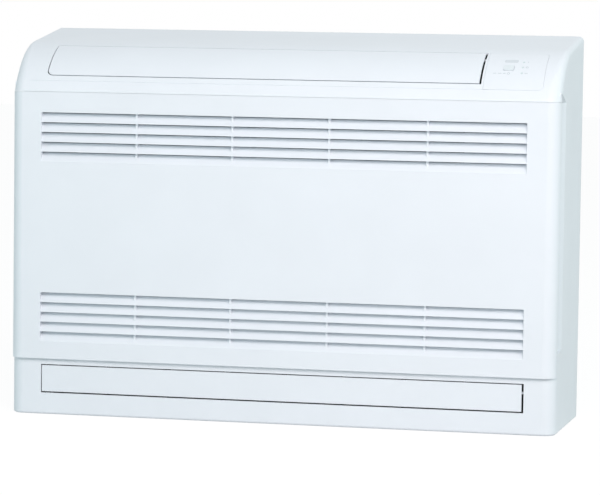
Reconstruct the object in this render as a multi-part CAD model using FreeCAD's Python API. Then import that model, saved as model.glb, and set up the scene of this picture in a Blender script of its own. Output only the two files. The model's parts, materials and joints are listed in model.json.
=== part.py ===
import FreeCAD, Part
import math
import os

from FreeCAD import Vector

# Low-wall console air conditioner, indoor unit, in millimetres.
# X runs to the right along the front, Y runs from the front to the wall, Z is up.
# The origin is on the floor under the middle of the cabinet.
# Many places are given as a depth, which is the distance behind the front plane.

# Cabinet
WIDTH = 860.0
DEPTH = 238.0
HEIGHT = 600.0
WALL = 2.6
CORNER_R = 20.0
TOP_EDGE_R = 8.0
TOP_RISE = 95.5
CREASE_R = 8.0
CREASE_ANGLE = 62.0
TOP_ANGLE = 8.0
BASE_INSET = 6.0
BASE_EDGE_R = 4.0
SIDE_BAY = 140.0
LEFT_BAY = 34.0

# Front panel
PANEL_BOTTOM = 88.0
PANEL_WALL = 3.0
PANEL_RETURN = 22.0
PANEL_GAP = 0.6
PANEL_TOP_GAP = 0.35
PANEL_RELIEF = 0.4
HINGE_MARGIN = 130.0
HINGE_DEPTH = 8.0
HINGE_RISE = 2.5
HINGE_PIN_R = 2.0
HINGE_BOSS_WALL = 0.3
HINGE_LUG = 24.0
HINGE_END_GAP = 1.0
EAR = 8.0
CATCH_MARGIN = 100.0
CATCH_DROP = 22.0
CATCH_LONG = 10.0
CATCH_HIGH = 6.0
CATCH_PROUD = 3.0
CATCH_ROOM = 3.0

# Inlet slots of the panel
SLOT_MARGIN = 49.0
SLOT_CELLS = 5
SLOT_ROWS = 5
SLOT_BAR = 3.2
SLOT_BAR_FRONT = 5.0
SLOT_PITCH = 15.3
SLOT_GAP = 1.6
SLAT_SLOPE_DEEP = 11.0
SLAT_DEEP = 13.0
UPPER_SLOTS_DROP = 33.7
LOWER_SLOTS_RISE = 40.9

# Finger grooves beside the panel
GROOVE_DEEP = 16.0
GROOVE_WIDE = 40.0
GROOVE_RISE = 38.0
GROOVE_DROP = 2.0
GROOVE_TAPER = 14.0
GROOVE_FOOT = 3.0
GROOVE_TIP = 0.02

# Opening of the cabinet behind the panel
RIM_LOW = 38.0
RIM_TOP = 40.0
RIM_SIDE = 8.0

# Upper flap, measured along the curved top from the crease
FLAP_LEFT_MARGIN = 54.0
FLAP_RIGHT_MARGIN = 126.0
FLAP_START = 26.5
FLAP_LONG = 76.0
FLAP_WALL = 2.6
FLAP_GAP = 1.6
FLAP_END_GAP = 3.2
FLAP_CORNER_R = 9.0
FLAP_REAR_R = 3.0
FLAP_TAIL = 14.0
PIVOT_DEEP = 6.0
PIVOT_R = 2.0
RUN_FIT = 0.06
BOSS_LONG = 8.0
BOSS_HALF = 6.0
HANGER_HALF = 5.0
RUN_GAP = 0.4
STEPPER_R = 10.0
STEPPER_LONG = 16.0

# Lower flap
LOWER_MARGIN = 51.0
LOWER_FLAP_LOW = 36.0
LOWER_FLAP_HIGH = 41.0
LOWER_TAIL = 13.0
LOWER_GAP = 2.2
LOWER_END_GAP = 3.2

# Control strip
DISPLAY_LEFT_GAP = 3.6
DISPLAY_LONG = 91.0
DISPLAY_START = 15.5
DISPLAY_WALL = 1.2
DISPLAY_CORNER_R = 8.0
DISPLAY_GAP = 0.3
SEAM_MARGIN = 26.0
SEAM_WIDE = 0.8
SEAM_DEEP = 0.5
BUTTON_LONG = 16.0
BUTTON_WIDE = 12.0
BUTTON_CORNER_R = 2.0
BUTTON_SHARE = 0.378
BUTTON_BACK = -4.5
BUTTON_PROUD = 0.8
BUTTON_GAP = 0.4
BUTTON_TRAVEL = 1.0
STEM_R = 2.0
LENS_R = 1.7
LENS_COUNT = 3
LENS_PITCH = 13.5
LENS_SHARE = 0.607
LENS_BACK = -2.5
WINDOW_LONG = 21.0
WINDOW_WIDE = 8.0
WINDOW_CORNER_R = 2.5
WINDOW_SHARE = 0.398
WINDOW_BACK = 13.0
BOARD_WALL = 1.6
BOARD_DROP = 10.4
BOARD_HALF = 18.0
SWITCH_HALF = 3.0
SWITCH_GAP = 0.3
POST_R = 3.0
POST_HALF = 13.0

# Swinging vanes of the upper outlet, in the tilted frame of that outlet
VANES = 10
VANE_WALL = 1.6
VANE_WIDE = 50.0
VANE_UP = 16.0
VANE_DOWN = 18.0
VANE_AXIS_DEEP = 42.0
VANE_PIN_R = 1.5
VANE_SWING = 25.0
VANE_CORNER_R = 4.0
LINK_ARM = 12.0
LINK_PIN_R = 1.2
LINK_WIDE = 3.6
LINK_HIGH = 7.0
LINK_GAP = 0.4
DUCT_WALL = 2.5
DUCT_HALF = 31.0

# Air path, as depths behind the front plane
FILTER_WALL = 3.0
FILTER_MESH = 0.6
FILTER_LAP = 6.0
FILTER_SPLIT = 2.0
FILTER_BAR = 9.0
FILTER_COLUMNS = 2
FILTER_ROWS = 3
COIL_FRONT = 36.0
COIL_THICK = 24.0
FIN_PITCH = 12.0
FIN_GROOVE = 1.2
FIN_GROOVE_DEEP = 3.0
COIL_TUBE_R = 3.5
COIL_BENDS = 8
BEND_STEPS = 6
TUBE_SIDES = 8
PLATE_WALL = 1.2
PARTITION_DEPTH = 70.0
PARTITION_WALL = 2.5

# Fan and motor
FAN_R = 158.0
FAN_INLET_R = 100.0
FAN_FRONT = 8.0
FAN_DEEP = 74.0
FAN_SHEET = 2.5
FAN_BLADES = 8
BLADE_INNER_R = 82.0
BLADE_WALL = 3.0
BLADE_SWEEP = 36.0
BLADE_BEND = 0.35
HUB_R = 14.0
HUB_DEEP = 32.0
SHAFT_R = 5.0
SHAFT_FIT = 0.05
SHAFT_END_GAP = 1.0
NUT_ACROSS = 16.0
NUT_THICK = 8.0
MOTOR_R = 48.0
MOTOR_GAP = 18.0
BRACKET_WALL = 6.0
BRACKET_R = 64.0
BRACKET_SCREWS = 3
BRACKET_TURN = 30.0
SCROLL_GAP = 32.0
SCROLL_ANGLE = 48.0

# Drain pan and lower duct
PAN_HIGH = 22.0
PAN_WALL = 2.2
PAN_FRONT = 30.0
PAN_RISE = 6.0
SPOUT_R = 8.0
SPOUT_LONG = 26.0
DUCT_FLOOR = 26.0
DUCT_RIBS = 7
RIB_WALL = 2.0
RIB_START = 40.0
RIB_LONG = 26.0

# Rear chassis
BACK_WALL = 3.0
CHASSIS_FIT = 0.5
CHASSIS_RIM = 26.0
SCREW_INSET = 24.0
SCREW_HIGH = 500.0
SCREW_LOW = 190.0
SCREW_HOLE_R = 3.0
PIPE_WINDOW_LONG = 74.0
PIPE_WINDOW_HIGH = 62.0
BEADS = 6
BEAD_MARGIN = 100.0
BEAD_LOW = 200.0
BEAD_DROP = 86.0
BEAD_WIDE = 9.0
BEAD_DEEP = 1.2
MOTOR_RING_R = 92.0
MOTOR_RING_GAP = 14.0

# Control box
BOX_WALL = 2.0
BOX_LOW = 176.0
BOX_TOP_DROP = 46.0
BOX_DEEP = 38.0
BOX_CLEAR = 31.0
BOARD_RISE = 10.0
STANDOFF = 5.0
FOOT = 4.0
TERMINAL_RISE = 28.0
TERMINAL_HIGH = 26.0
TERMINAL_DEEP = 12.0
TERMINAL_POLES = 4
BARRIER_DEEP = 6.0
BARRIER_WALL = 2.0

# Parts on the main board: across from its middle, up as shares of its height, and size
CAPACITORS = ((-16.0, 0.164, 9.0, 20.0), (12.0, 0.164, 7.0, 16.0))
BOARD_BLOCKS = ((-20.0, 14.0, 0.34, 0.51, 12.0), (-24.0, 24.0, 0.85, 0.93, 7.0))

# Refrigerant pipes
GAS_R = 4.76
LIQUID_R = 3.18
GAS_UNION_R = 7.94
LIQUID_UNION_R = 5.56
UNION_THREAD = 16.0
UNION_HEX = 9.0
UNION_WALL = 1.4
UNION_INSET = 12.0
PIPE_BEND_R = 24.0
GAS_Z = 152.0
LIQUID_Z = 128.0
GAS_OUT = 46.0
LIQUID_OUT = 74.0
GAS_SHARE = 0.75
LIQUID_SHARE = 0.25

# Small fasteners
SCREW_HEAD_R = 4.0
SCREW_HEAD = 2.4
SCREW_CROWN_R = 3.0
SCREW_SHANK_R = 1.9
SCREW_LONG = 10.0
SCREW_FIT = 0.3

# Places that several pieces share
HALF = WIDTH / 2
HINGE_X = HALF - HINGE_MARGIN
CATCH_X = HALF - CATCH_MARGIN
SLOT_HALF = HALF - SLOT_MARGIN
FLAP_LEFT = HALF - FLAP_LEFT_MARGIN
FLAP_RIGHT = HALF - FLAP_RIGHT_MARGIN
LOWER_HALF = HALF - LOWER_MARGIN
CREASE_Z = HEIGHT - TOP_RISE
STEEP = math.radians(CREASE_ANGLE)
FLAT = math.radians(TOP_ANGLE)
BAY_BACK = PANEL_RETURN + PANEL_GAP
FRAME_BACK = BAY_BACK + WALL
PANEL_TOP = CREASE_Z - PANEL_TOP_GAP
COIL_LEFT = -HALF + LEFT_BAY
COIL_RIGHT = HALF - SIDE_BAY
FAN_X = (COIL_LEFT + COIL_RIGHT) / 2
PAN_Z = PANEL_BOTTOM + PAN_RISE
COIL_LOW = PAN_Z + PAN_WALL
COIL_TOP = CREASE_Z - RIM_TOP + RIM_SIDE
FAN_Z = (COIL_LOW + COIL_TOP) / 2
COIL_BACK = COIL_FRONT + COIL_THICK
PARTITION_BACK = PARTITION_DEPTH + PARTITION_WALL
FAN_BACK = PARTITION_BACK + FAN_FRONT + FAN_DEEP
BACK_FACE = DEPTH - BACK_WALL
HINGE_BOSS_R = HINGE_PIN_R + HINGE_BOSS_WALL
HINGE_BACK = HINGE_DEPTH + 2 * HINGE_PIN_R
HINGE_Z = PANEL_BOTTOM + HINGE_RISE
LOWER_FLAP_TOP = LOWER_FLAP_LOW + LOWER_FLAP_HIGH
LOWER_PIVOT_DEPTH = BASE_INSET + PIVOT_DEEP
LOWER_PIVOT_Z = LOWER_FLAP_TOP - LOWER_TAIL
BEAD_R = PIVOT_DEEP - FLAP_WALL / 2


def top_radius():
    """Radius of the big arc, so that crease, arc and rear slope end at the full depth and height."""
    slope = math.tan(FLAT)
    rise = TOP_RISE - CREASE_R * math.cos(STEEP) - (DEPTH - CREASE_R * (1 - math.sin(STEEP))) * slope
    return rise / (math.cos(FLAT) - math.cos(STEEP) - (math.sin(STEEP) - math.sin(FLAT)) * slope)


TOP_R = top_radius()
ARC_DEPTH = CREASE_R + (TOP_R - CREASE_R) * math.sin(STEEP)
ARC_Z = CREASE_Z - (TOP_R - CREASE_R) * math.cos(STEEP)
FLAP_FRONT_ANGLE = STEEP - FLAP_START / TOP_R
FLAP_REAR_ANGLE = FLAP_FRONT_ANGLE - FLAP_LONG / TOP_R
OUTLET_ANGLE = (FLAP_FRONT_ANGLE + FLAP_REAR_ANGLE) / 2
PIVOT_ANGLE = FLAP_REAR_ANGLE + FLAP_TAIL / TOP_R
DISPLAY_LEFT = FLAP_RIGHT + FLAP_END_GAP + DISPLAY_LEFT_GAP


def point(x, depth, z):
    """World point from a place across, a depth behind the front plane and a height."""
    return Vector(x, depth - DEPTH / 2, z)


def box(x0, x1, depth0, depth1, z0, z1):
    """Block between two places across, two depths and two heights."""
    return Part.makeBox(x1 - x0, depth1 - depth0, z1 - z0, point(x0, depth0, z0))


def rod(start, axis, radius, length):
    """Round rod from a point along an axis."""
    return Part.makeCylinder(radius, length, start, axis)


def join(shapes):
    """One solid from pieces that meet."""
    return shapes[0].multiFuse(shapes[1:]).removeSplitter()


def slab(corners, x0, x1):
    """Polygon of (depth, height) corners carried across from x0 to x1."""
    loop = [point(x0, depth, z) for depth, z in corners]
    return Part.Face(Part.makePolygon(loop + loop[:1])).extrude(Vector(x1 - x0, 0, 0))


def plan(corners, z0, z1):
    """Polygon of (across, depth) corners carried up from z0 to z1."""
    loop = [point(x, depth, z0) for x, depth in corners]
    return Part.Face(Part.makePolygon(loop + loop[:1])).extrude(Vector(0, 0, z1 - z0))


def on_arc(angle, radius):
    """Depth and height of the place on the top's big arc where the surface slopes by that angle."""
    return ARC_DEPTH - radius * math.sin(angle), ARC_Z + radius * math.cos(angle)


def tilted(shape):
    """Carries a shape from the outlet's own frame, where Y follows the flap and Z points out of it."""
    placed = shape.copy()
    placed.rotate(Vector(0, 0, 0), Vector(1, 0, 0), math.degrees(OUTLET_ANGLE))
    placed.translate(point(0, *on_arc(OUTLET_ANGLE, TOP_R)))
    return placed


def block(x0, x1, y0, y1, z0, z1):
    """Block in the outlet's own frame."""
    return Part.makeBox(x1 - x0, y1 - y0, z1 - z0, Vector(x0, y0, z0))


def bent_strip(a, b, c, d, e, f):
    """Face between the arc through a, b and c and the arc back through d, e and f."""
    there = Part.Arc(a, b, c).toShape()
    back = Part.Arc(d, e, f).toShape()
    return Part.Face(Part.Wire([there, Part.makeLine(c, d), back, Part.makeLine(f, a)]))


def sector(front_angle, rear_angle, outer, inner, x0, x1):
    """Strip of the curved top between two slopes and two radii, carried across."""
    middle = (front_angle + rear_angle) / 2
    a, b, c = [point(x0, *on_arc(t, outer)) for t in (front_angle, middle, rear_angle)]
    d, e, f = [point(x0, *on_arc(t, inner)) for t in (rear_angle, middle, front_angle)]
    return bent_strip(a, b, c, d, e, f).extrude(Vector(x1 - x0, 0, 0))


def round_ends(shape, front_r, rear_r, x):
    """Rounds the front and the rear corner of a strip at one end."""
    for radius, pick in ((front_r, min), (rear_r, max)):
        edges = [e for e in shape.Edges if e.Curve.TypeId == "Part::GeomLine" and at_end(e, x)]
        corner = pick(edges, key=lambda e: e.CenterOfMass.y)
        shape = shape.makeFillet(radius, [corner])
    return shape


def at_end(edge, x):
    """True for an edge that lies wholly in the plane at x."""
    return all(abs(v.Point.x - x) < 1e-6 for v in edge.Vertexes)


def skin(offset, low, rear):
    """Solid of the cabinet's upper form: flat front, crease, big arc and rear slope, moved in by offset."""
    half = HALF - offset
    blend = CREASE_R - offset
    radius = TOP_R - offset

    def on_crease(angle):
        return CREASE_R - blend * math.sin(angle), CREASE_Z + blend * math.cos(angle)

    def spot(place):
        return point(-half, *place)

    end_depth, end_z = on_arc(FLAT, radius)
    rear_z = end_z + (rear - end_depth) * math.tan(FLAT)
    foot = spot((offset, low))
    crease = spot((offset, CREASE_Z))
    arc_start = spot(on_arc(STEEP, radius))
    arc_end = spot((end_depth, end_z))
    back_top = spot((rear, rear_z))
    back_low = spot((rear, low))
    edges = [
        Part.makeLine(foot, crease),
        Part.Arc(crease, spot(on_crease((STEEP + math.pi / 2) / 2)), arc_start).toShape(),
        Part.Arc(arc_start, spot(on_arc((STEEP + FLAT) / 2, radius)), arc_end).toShape(),
        Part.makeLine(arc_end, back_top),
        Part.makeLine(back_top, back_low),
        Part.makeLine(back_low, foot),
    ]
    solid = Part.Face(Part.Wire(edges)).extrude(Vector(2 * half, 0, 0))

    def is_rounded(edge):
        ends = edge.Vertexes
        side = at_end(edge, -half) or at_end(edge, half)
        behind = all(abs(v.Point.y - back_top.y) < 1e-6 for v in ends)
        below = all(abs(v.Point.z - low) < 1e-6 for v in ends)
        return side and not behind and not below

    middle_y = (arc_start.y + arc_end.y) / 2
    return rounded_sides(solid, is_rounded, middle_y, CORNER_R - offset, TOP_EDGE_R - offset)


def rounded_sides(solid, chosen, middle_y, wide, narrow):
    """Rounds the side edges: wide up the front, narrowing along the big arc, narrow on the rear slope."""
    sheet = FreeCAD.newDocument("sides")
    plain = sheet.addObject("Part::Feature", "plain")
    plain.Shape = solid
    rounded = sheet.addObject("Part::Fillet", "rounded")
    rounded.Base = plain
    rows = []
    for number, edge in enumerate(plain.Shape.Edges, 1):
        if chosen(edge):
            start_r, end_r = [wide if v.Point.y < middle_y else narrow for v in edge.Vertexes]
            rows.append((number, start_r, end_r))
    rounded.Edges = rows
    sheet.recompute()
    shape = rounded.Shape.copy()
    FreeCAD.closeDocument(sheet.Name)
    return shape


def base_block(offset, rear, top):
    """Solid of the base, whose front stands back from the panel."""
    solid = box(-HALF + offset, HALF - offset, BASE_INSET + offset, rear, offset, top)
    front_y = point(0, BASE_INSET + offset, 0).y
    upright = [e for e in solid.Edges if all(abs(v.Point.y - front_y) < 1e-6 for v in e.Vertexes)]
    upright = [e for e in upright if abs(e.Vertexes[0].Point.x - e.Vertexes[1].Point.x) < 1e-6]
    return solid.makeFillet(CORNER_R - offset, upright)


def soften_base(solid):
    """Rounds the lower outside edge of the base along the front and both sides."""
    rear_y = point(0, DEPTH, 0).y
    low = [e for e in solid.Edges if all(abs(v.Point.z) < 1e-6 for v in e.Vertexes)]
    low = [e for e in low if not all(abs(v.Point.y - rear_y) < 1e-6 for v in e.Vertexes)]
    return solid.makeFillet(BASE_EDGE_R, low)


def cabinet_hollow():
    """Space inside the cabinet: open to the rear, closed at the front by the frame behind the panel."""
    beyond = DEPTH + WALL
    inner = skin(WALL, WALL, beyond)
    behind = inner.common(box(-HALF, HALF, FRAME_BACK, beyond, 0, HEIGHT))
    above = inner.common(box(-HALF, HALF, 0, beyond, CREASE_Z + WALL, HEIGHT))
    base = base_block(WALL, beyond, PANEL_BOTTOM - WALL)
    return join([behind, above, base])


def groove(side):
    """Finger groove: a sloping hollow along the side, just behind the panel, that runs out at both ends."""
    low = PANEL_BOTTOM + GROOVE_RISE
    high = CREASE_Z - GROOVE_DROP

    def section(z, share):
        deep = GROOVE_DEEP * share
        wide = GROOVE_WIDE * share
        corners = [(HALF + WALL, BAY_BACK - WALL), (HALF - deep, BAY_BACK - WALL)]
        corners += [(HALF - deep, BAY_BACK), (HALF, BAY_BACK + wide), (HALF + WALL, BAY_BACK + wide)]
        loop = [point(side * x, depth, z) for x, depth in corners]
        return Part.makePolygon(loop + loop[:1])

    stations = [(low - GROOVE_FOOT, GROOVE_TIP), (low, 1), (high, 1), (high + GROOVE_TAPER, GROOVE_TIP)]
    return Part.makeLoft([section(z, share) for z, share in stations], True, True)


def groove_wall(side):
    """Wall that backs the finger groove inside the cabinet, with a thicker end above the panel."""
    low = PANEL_BOTTOM + GROOVE_RISE - GROOVE_FOOT - WALL
    high = CREASE_Z - GROOVE_DROP + GROOVE_TAPER + WALL
    inner = HALF - GROOVE_DEEP - 2 * WALL
    edge = HALF - WALL / 2
    front = BAY_BACK + WALL / 2
    back = BAY_BACK + GROOVE_WIDE + 4 * WALL
    wall = plan([(side * edge, front), (side * inner, front), (side * edge, back)], low, high)
    x0, x1 = sorted((side * edge, side * inner))
    return wall.fuse(box(x0, x1, BAY_BACK - 2 * WALL, FRAME_BACK, CREASE_Z, high))


def hinge_ears(sign):
    """Two ears on the base's lip that hold one hinge pin of the panel."""
    ears = []
    for end in (-1, 1):
        near = sign * HINGE_X + end * (HINGE_LUG / 2 + HINGE_END_GAP)
        far = near + end * EAR
        x0, x1 = sorted((near, far))
        front = PANEL_WALL + 2 * PANEL_GAP
        ears.append(box(x0, x1, front, HINGE_BACK, PANEL_BOTTOM, HINGE_Z + 2 * HINGE_PIN_R))
    return ears


def pivot_place(x):
    """Centre of the upper flap's pivot at one place across."""
    return point(x, *on_arc(PIVOT_ANGLE, TOP_R - PIVOT_DEEP))


def upper_boss(x0, x1):
    """Block under the top cover that holds one end of the upper flap's pivot."""
    spread = BOSS_HALF / TOP_R
    depth = TOP_R - PIVOT_DEEP - PIVOT_R - WALL
    return sector(PIVOT_ANGLE + spread, PIVOT_ANGLE - spread, TOP_R - WALL / 2, depth, x0, x1)


def lower_boss(x0, x1):
    """Block behind the base's front that holds one end of the lower flap's pivot."""
    reach = PIVOT_R + WALL
    low = LOWER_PIVOT_Z - reach
    return box(x0, x1, BASE_INSET + WALL / 2, LOWER_PIVOT_DEPTH + reach, low, LOWER_PIVOT_Z + reach)


def boss_spans(left, right, right_gap):
    """Places across of the two pivot bosses outside a flap."""
    near_left = left - FLAP_GAP
    near_right = right + right_gap
    return [(near_left - BOSS_LONG, near_left), (near_right, near_right + BOSS_LONG)]


UPPER_BOSSES = boss_spans(-FLAP_LEFT, FLAP_RIGHT, FLAP_END_GAP)
LOWER_BOSSES = boss_spans(-LOWER_HALF, LOWER_HALF, LOWER_END_GAP)


def display_strip(gap, outer, inner):
    """Strip of the top that the control strip fills, widened by a gap."""
    front = STEEP - (DISPLAY_START - gap) / TOP_R
    rear = FLAP_REAR_ANGLE - gap / TOP_R
    right = DISPLAY_LEFT + DISPLAY_LONG + gap
    strip = sector(front, rear, outer, inner, DISPLAY_LEFT - gap, right)
    corner = DISPLAY_CORNER_R + gap
    return round_ends(strip, corner, corner, right)


BUTTON_X = DISPLAY_LEFT + DISPLAY_LONG * BUTTON_SHARE
LENS_X = DISPLAY_LEFT + DISPLAY_LONG * LENS_SHARE
WINDOW_X = DISPLAY_LEFT + DISPLAY_LONG * WINDOW_SHARE


def upright_block(x, y, long, wide, low, high, corner):
    """Block with rounded corners, square to the top at the outlet's middle, in the outlet's own frame."""
    solid = block(x - long / 2, x + long / 2, y - wide / 2, y + wide / 2, low, high)
    upright = [e for e in solid.Edges if abs(e.Vertexes[0].Point.z - e.Vertexes[1].Point.z) > 1e-6]
    return solid.makeFillet(corner, upright)


def button_column(gap):
    """Column of the hole for the button, widened by a gap."""
    long = BUTTON_LONG + 2 * gap
    wide = BUTTON_WIDE + 2 * gap
    return tilted(upright_block(BUTTON_X, BUTTON_BACK, long, wide, -BOARD_DROP, 2 * WALL, BUTTON_CORNER_R))


def lens_rods(radius):
    """Round columns along which the indicator lenses sit."""
    rods = []
    for i in range(LENS_COUNT):
        y = LENS_BACK + (i - (LENS_COUNT - 1) / 2) * LENS_PITCH
        foot = Vector(LENS_X, y, -BOARD_DROP)
        rods.append(tilted(rod(foot, Vector(0, 0, 1), radius, BOARD_DROP + 2 * WALL)))
    return rods


def window_column():
    """Column along which the receiver window sits."""
    top = 2 * WALL
    column = upright_block(WINDOW_X, WINDOW_BACK, WINDOW_LONG, WINDOW_WIDE, -BOARD_DROP, top, WINDOW_CORNER_R)
    return tilted(column)


def cabinet_screw_places():
    """Places of the screws in the frame behind the panel."""
    inset = SCREW_INSET
    heights = (PANEL_BOTTOM + RIM_LOW / 2, CREASE_Z - RIM_TOP / 2)
    return [(side * (HALF - inset), z) for side in (-1, 1) for z in heights]


def cabinet():
    """Moulded casing: base, sides, frame behind the panel and curved top with the outlet."""
    outer = skin(0, PANEL_BOTTOM, DEPTH).fuse(soften_base(base_block(0, DEPTH, PANEL_BOTTOM)))
    bay = box(-HALF - WALL, HALF + WALL, -WALL, BAY_BACK, PANEL_BOTTOM, CREASE_Z)
    shell = outer.cut(cabinet_hollow()).cut(bay)
    lip_half = HALF - CORNER_R - PANEL_WALL
    lip_back = BASE_INSET + WALL
    lip = box(-lip_half, lip_half, BASE_INSET, lip_back, PANEL_BOTTOM - WALL, PANEL_BOTTOM + 4 * WALL)
    rib_front = PANEL_WALL + 2 * PANEL_GAP
    rib = box(-lip_half, lip_half, rib_front, rib_front + WALL, CREASE_Z - 3 * WALL, CREASE_Z + WALL)
    adds = [lip, rib] + [groove_wall(s) for s in (-1, 1)] + hinge_ears(-1) + hinge_ears(1)
    adds += [upper_boss(*span) for span in UPPER_BOSSES] + [lower_boss(*span) for span in LOWER_BOSSES]
    adds += display_posts()
    shell = join([shell] + adds)
    cuts = [groove(s) for s in (-1, 1)]
    for s in (-1, 1):
        lug = HINGE_LUG / 2 + HINGE_END_GAP
        x = s * HINGE_X
        cuts.append(box(x - lug, x + lug, 0, HINGE_BACK, PANEL_BOTTOM, PANEL_BOTTOM + 6 * WALL))
        bore_half = lug + EAR + WALL
        start = point(x - bore_half, HINGE_DEPTH, HINGE_Z)
        cuts.append(rod(start, Vector(1, 0, 0), HINGE_PIN_R + RUN_FIT, 2 * bore_half))
        z = CREASE_Z - CATCH_DROP
        long = CATCH_LONG / 2 + CATCH_ROOM
        high = CATCH_HIGH / 2 + CATCH_ROOM
        x = s * CATCH_X
        cuts.append(box(x - long, x + long, BAY_BACK - WALL, FRAME_BACK + WALL, z - high, z + high))
    opening_left = COIL_LEFT + RIM_SIDE
    opening_right = COIL_RIGHT - RIM_SIDE
    low = PANEL_BOTTOM + RIM_LOW
    top = CREASE_Z - RIM_TOP
    cuts.append(box(opening_left, opening_right, BAY_BACK - WALL, FRAME_BACK + WALL, low, top))
    low = LOWER_FLAP_LOW - LOWER_GAP
    right = LOWER_HALF + LOWER_END_GAP
    top = LOWER_FLAP_TOP + FLAP_GAP
    cuts.append(box(-LOWER_HALF - FLAP_GAP, right, 0, BASE_INSET + 2 * WALL, low, top))
    gap = FLAP_GAP / TOP_R
    left = -FLAP_LEFT - FLAP_GAP
    front = FLAP_FRONT_ANGLE + gap
    rear = FLAP_REAR_ANGLE - gap
    mouth = sector(front, rear, TOP_R + WALL, TOP_R - 2 * WALL, left, FLAP_RIGHT + FLAP_END_GAP)
    cuts.append(round_ends(mouth, FLAP_CORNER_R + FLAP_GAP, FLAP_REAR_R + FLAP_GAP, left))
    cuts.append(display_strip(DISPLAY_GAP, TOP_R + WALL, TOP_R - DISPLAY_WALL))
    cuts.append(button_column(BUTTON_GAP))
    for x0, x1 in UPPER_BOSSES:
        cuts.append(rod(pivot_place(x0 - WALL), Vector(1, 0, 0), PIVOT_R + RUN_FIT, x1 - x0 + 2 * WALL))
    for x0, x1 in LOWER_BOSSES:
        start = point(x0 - WALL, LOWER_PIVOT_DEPTH, LOWER_PIVOT_Z)
        cuts.append(rod(start, Vector(1, 0, 0), PIVOT_R + RUN_FIT, x1 - x0 + 2 * WALL))
    for x, z in cabinet_screw_places():
        start = point(x, BAY_BACK - WALL, z)
        cuts.append(rod(start, Vector(0, 1, 0), SCREW_SHANK_R + SCREW_FIT, 3 * WALL))
    return shell.cut(Part.makeCompound(cuts)).cut(top_seam()).removeSplitter()


def top_seam():
    """Shallow line across the top where the outlet's surround begins."""
    front = STEEP - (DISPLAY_START - SEAM_WIDE) / TOP_R
    rear = STEEP - DISPLAY_START / TOP_R
    left = -HALF + SEAM_MARGIN
    return sector(front, rear, TOP_R + WALL, TOP_R - SEAM_DEEP, left, DISPLAY_LEFT + DISPLAY_CORNER_R)


def slot_cuts(first_z, step):
    """Inlet slots of one band: each row is a level gap above a slat face that leans back."""
    cuts = []
    for row in range(SLOT_ROWS):
        z = first_z + row * step
        top = z + SLOT_GAP
        foot = top - SLOT_PITCH
        deep = SLAT_DEEP + WALL
        corners = [(-WALL, foot), (0, foot), (SLAT_SLOPE_DEEP, z), (deep, z), (deep, top), (-WALL, top)]
        cuts.append(slab(corners, -SLOT_HALF, SLOT_HALF))
    return cuts


def slot_bars(low, high):
    """Upright bars that tie the slats of one band together, set back from the front."""
    pitch = 2 * SLOT_HALF / SLOT_CELLS
    bars = []
    for i in range(1, SLOT_CELLS):
        x = -SLOT_HALF + i * pitch
        bars.append(box(x - SLOT_BAR / 2, x + SLOT_BAR / 2, SLOT_BAR_FRONT, SLAT_DEEP, low, high))
    return bars


def front_panel():
    """Inlet panel: flat face with rounded upright edges, two slotted bands, hinge lugs and catch pegs."""
    zone = box(-HALF - WALL, HALF + WALL, -WALL, PANEL_RETURN, PANEL_BOTTOM, PANEL_TOP)
    inner = skin(PANEL_WALL, PANEL_BOTTOM - 2 * WALL, DEPTH)
    shell = skin(0, PANEL_BOTTOM - WALL, DEPTH).common(zone).cut(inner)
    upper_z = CREASE_Z - UPPER_SLOTS_DROP
    lower_z = PANEL_BOTTOM + LOWER_SLOTS_RISE
    band = (SLOT_ROWS - 1) * SLOT_PITCH
    half = SLOT_HALF + 2 * WALL
    adds = []
    bars = []
    for low in (upper_z - band, lower_z):
        bottom = low + SLOT_GAP - SLOT_PITCH
        top = low + band + SLOT_GAP
        adds.append(box(-half, half, PANEL_WALL / 2, SLAT_DEEP, bottom - WALL, top + 2 * WALL))
        bars += slot_bars(bottom, top + WALL)
    for s in (-1, 1):
        x = s * HINGE_X
        lug = HINGE_LUG / 2
        lug_low = HINGE_Z - HINGE_BOSS_WALL
        adds.append(box(x - lug, x + lug, PANEL_WALL / 2, HINGE_DEPTH, lug_low, HINGE_Z + 3 * HINGE_PIN_R))
        adds.append(rod(point(x - lug, HINGE_DEPTH, HINGE_Z), Vector(1, 0, 0), HINGE_BOSS_R, 2 * lug))
        pin_half = lug + EAR
        start = point(x - pin_half, HINGE_DEPTH, HINGE_Z)
        adds.append(rod(start, Vector(1, 0, 0), HINGE_PIN_R, 2 * pin_half))
        z = CREASE_Z - CATCH_DROP
        peg = CATCH_LONG / 2
        high = CATCH_HIGH / 2
        x = s * CATCH_X
        adds.append(box(x - peg, x + peg, PANEL_WALL / 2, FRAME_BACK + CATCH_PROUD, z - high, z + high))
    shell = join([shell] + adds)
    cuts = slot_cuts(upper_z, -SLOT_PITCH) + slot_cuts(lower_z, SLOT_PITCH)
    edge = HALF + WALL
    back = PANEL_RETURN + WALL
    cuts.append(box(-edge, edge, HINGE_DEPTH, back, PANEL_TOP - PANEL_RELIEF, CREASE_Z))
    return join([shell.cut(Part.makeCompound(cuts))] + bars)


def upper_flap():
    """Curved lid of the top outlet with a pivot rod along its underside."""
    lid = sector(FLAP_FRONT_ANGLE, FLAP_REAR_ANGLE, TOP_R, TOP_R - FLAP_WALL, -FLAP_LEFT, FLAP_RIGHT)
    lid = round_ends(lid, FLAP_CORNER_R, FLAP_REAR_R, -FLAP_LEFT)
    long = FLAP_LEFT + FLAP_RIGHT - 2 * FLAP_CORNER_R
    bead = rod(pivot_place(-FLAP_LEFT + FLAP_CORNER_R), Vector(1, 0, 0), BEAD_R, long)
    left = UPPER_BOSSES[0][0]
    right = UPPER_BOSSES[1][1] + BOSS_LONG
    pin = rod(pivot_place(left), Vector(1, 0, 0), PIVOT_R, right - left)
    return join([lid, bead, pin])


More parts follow.
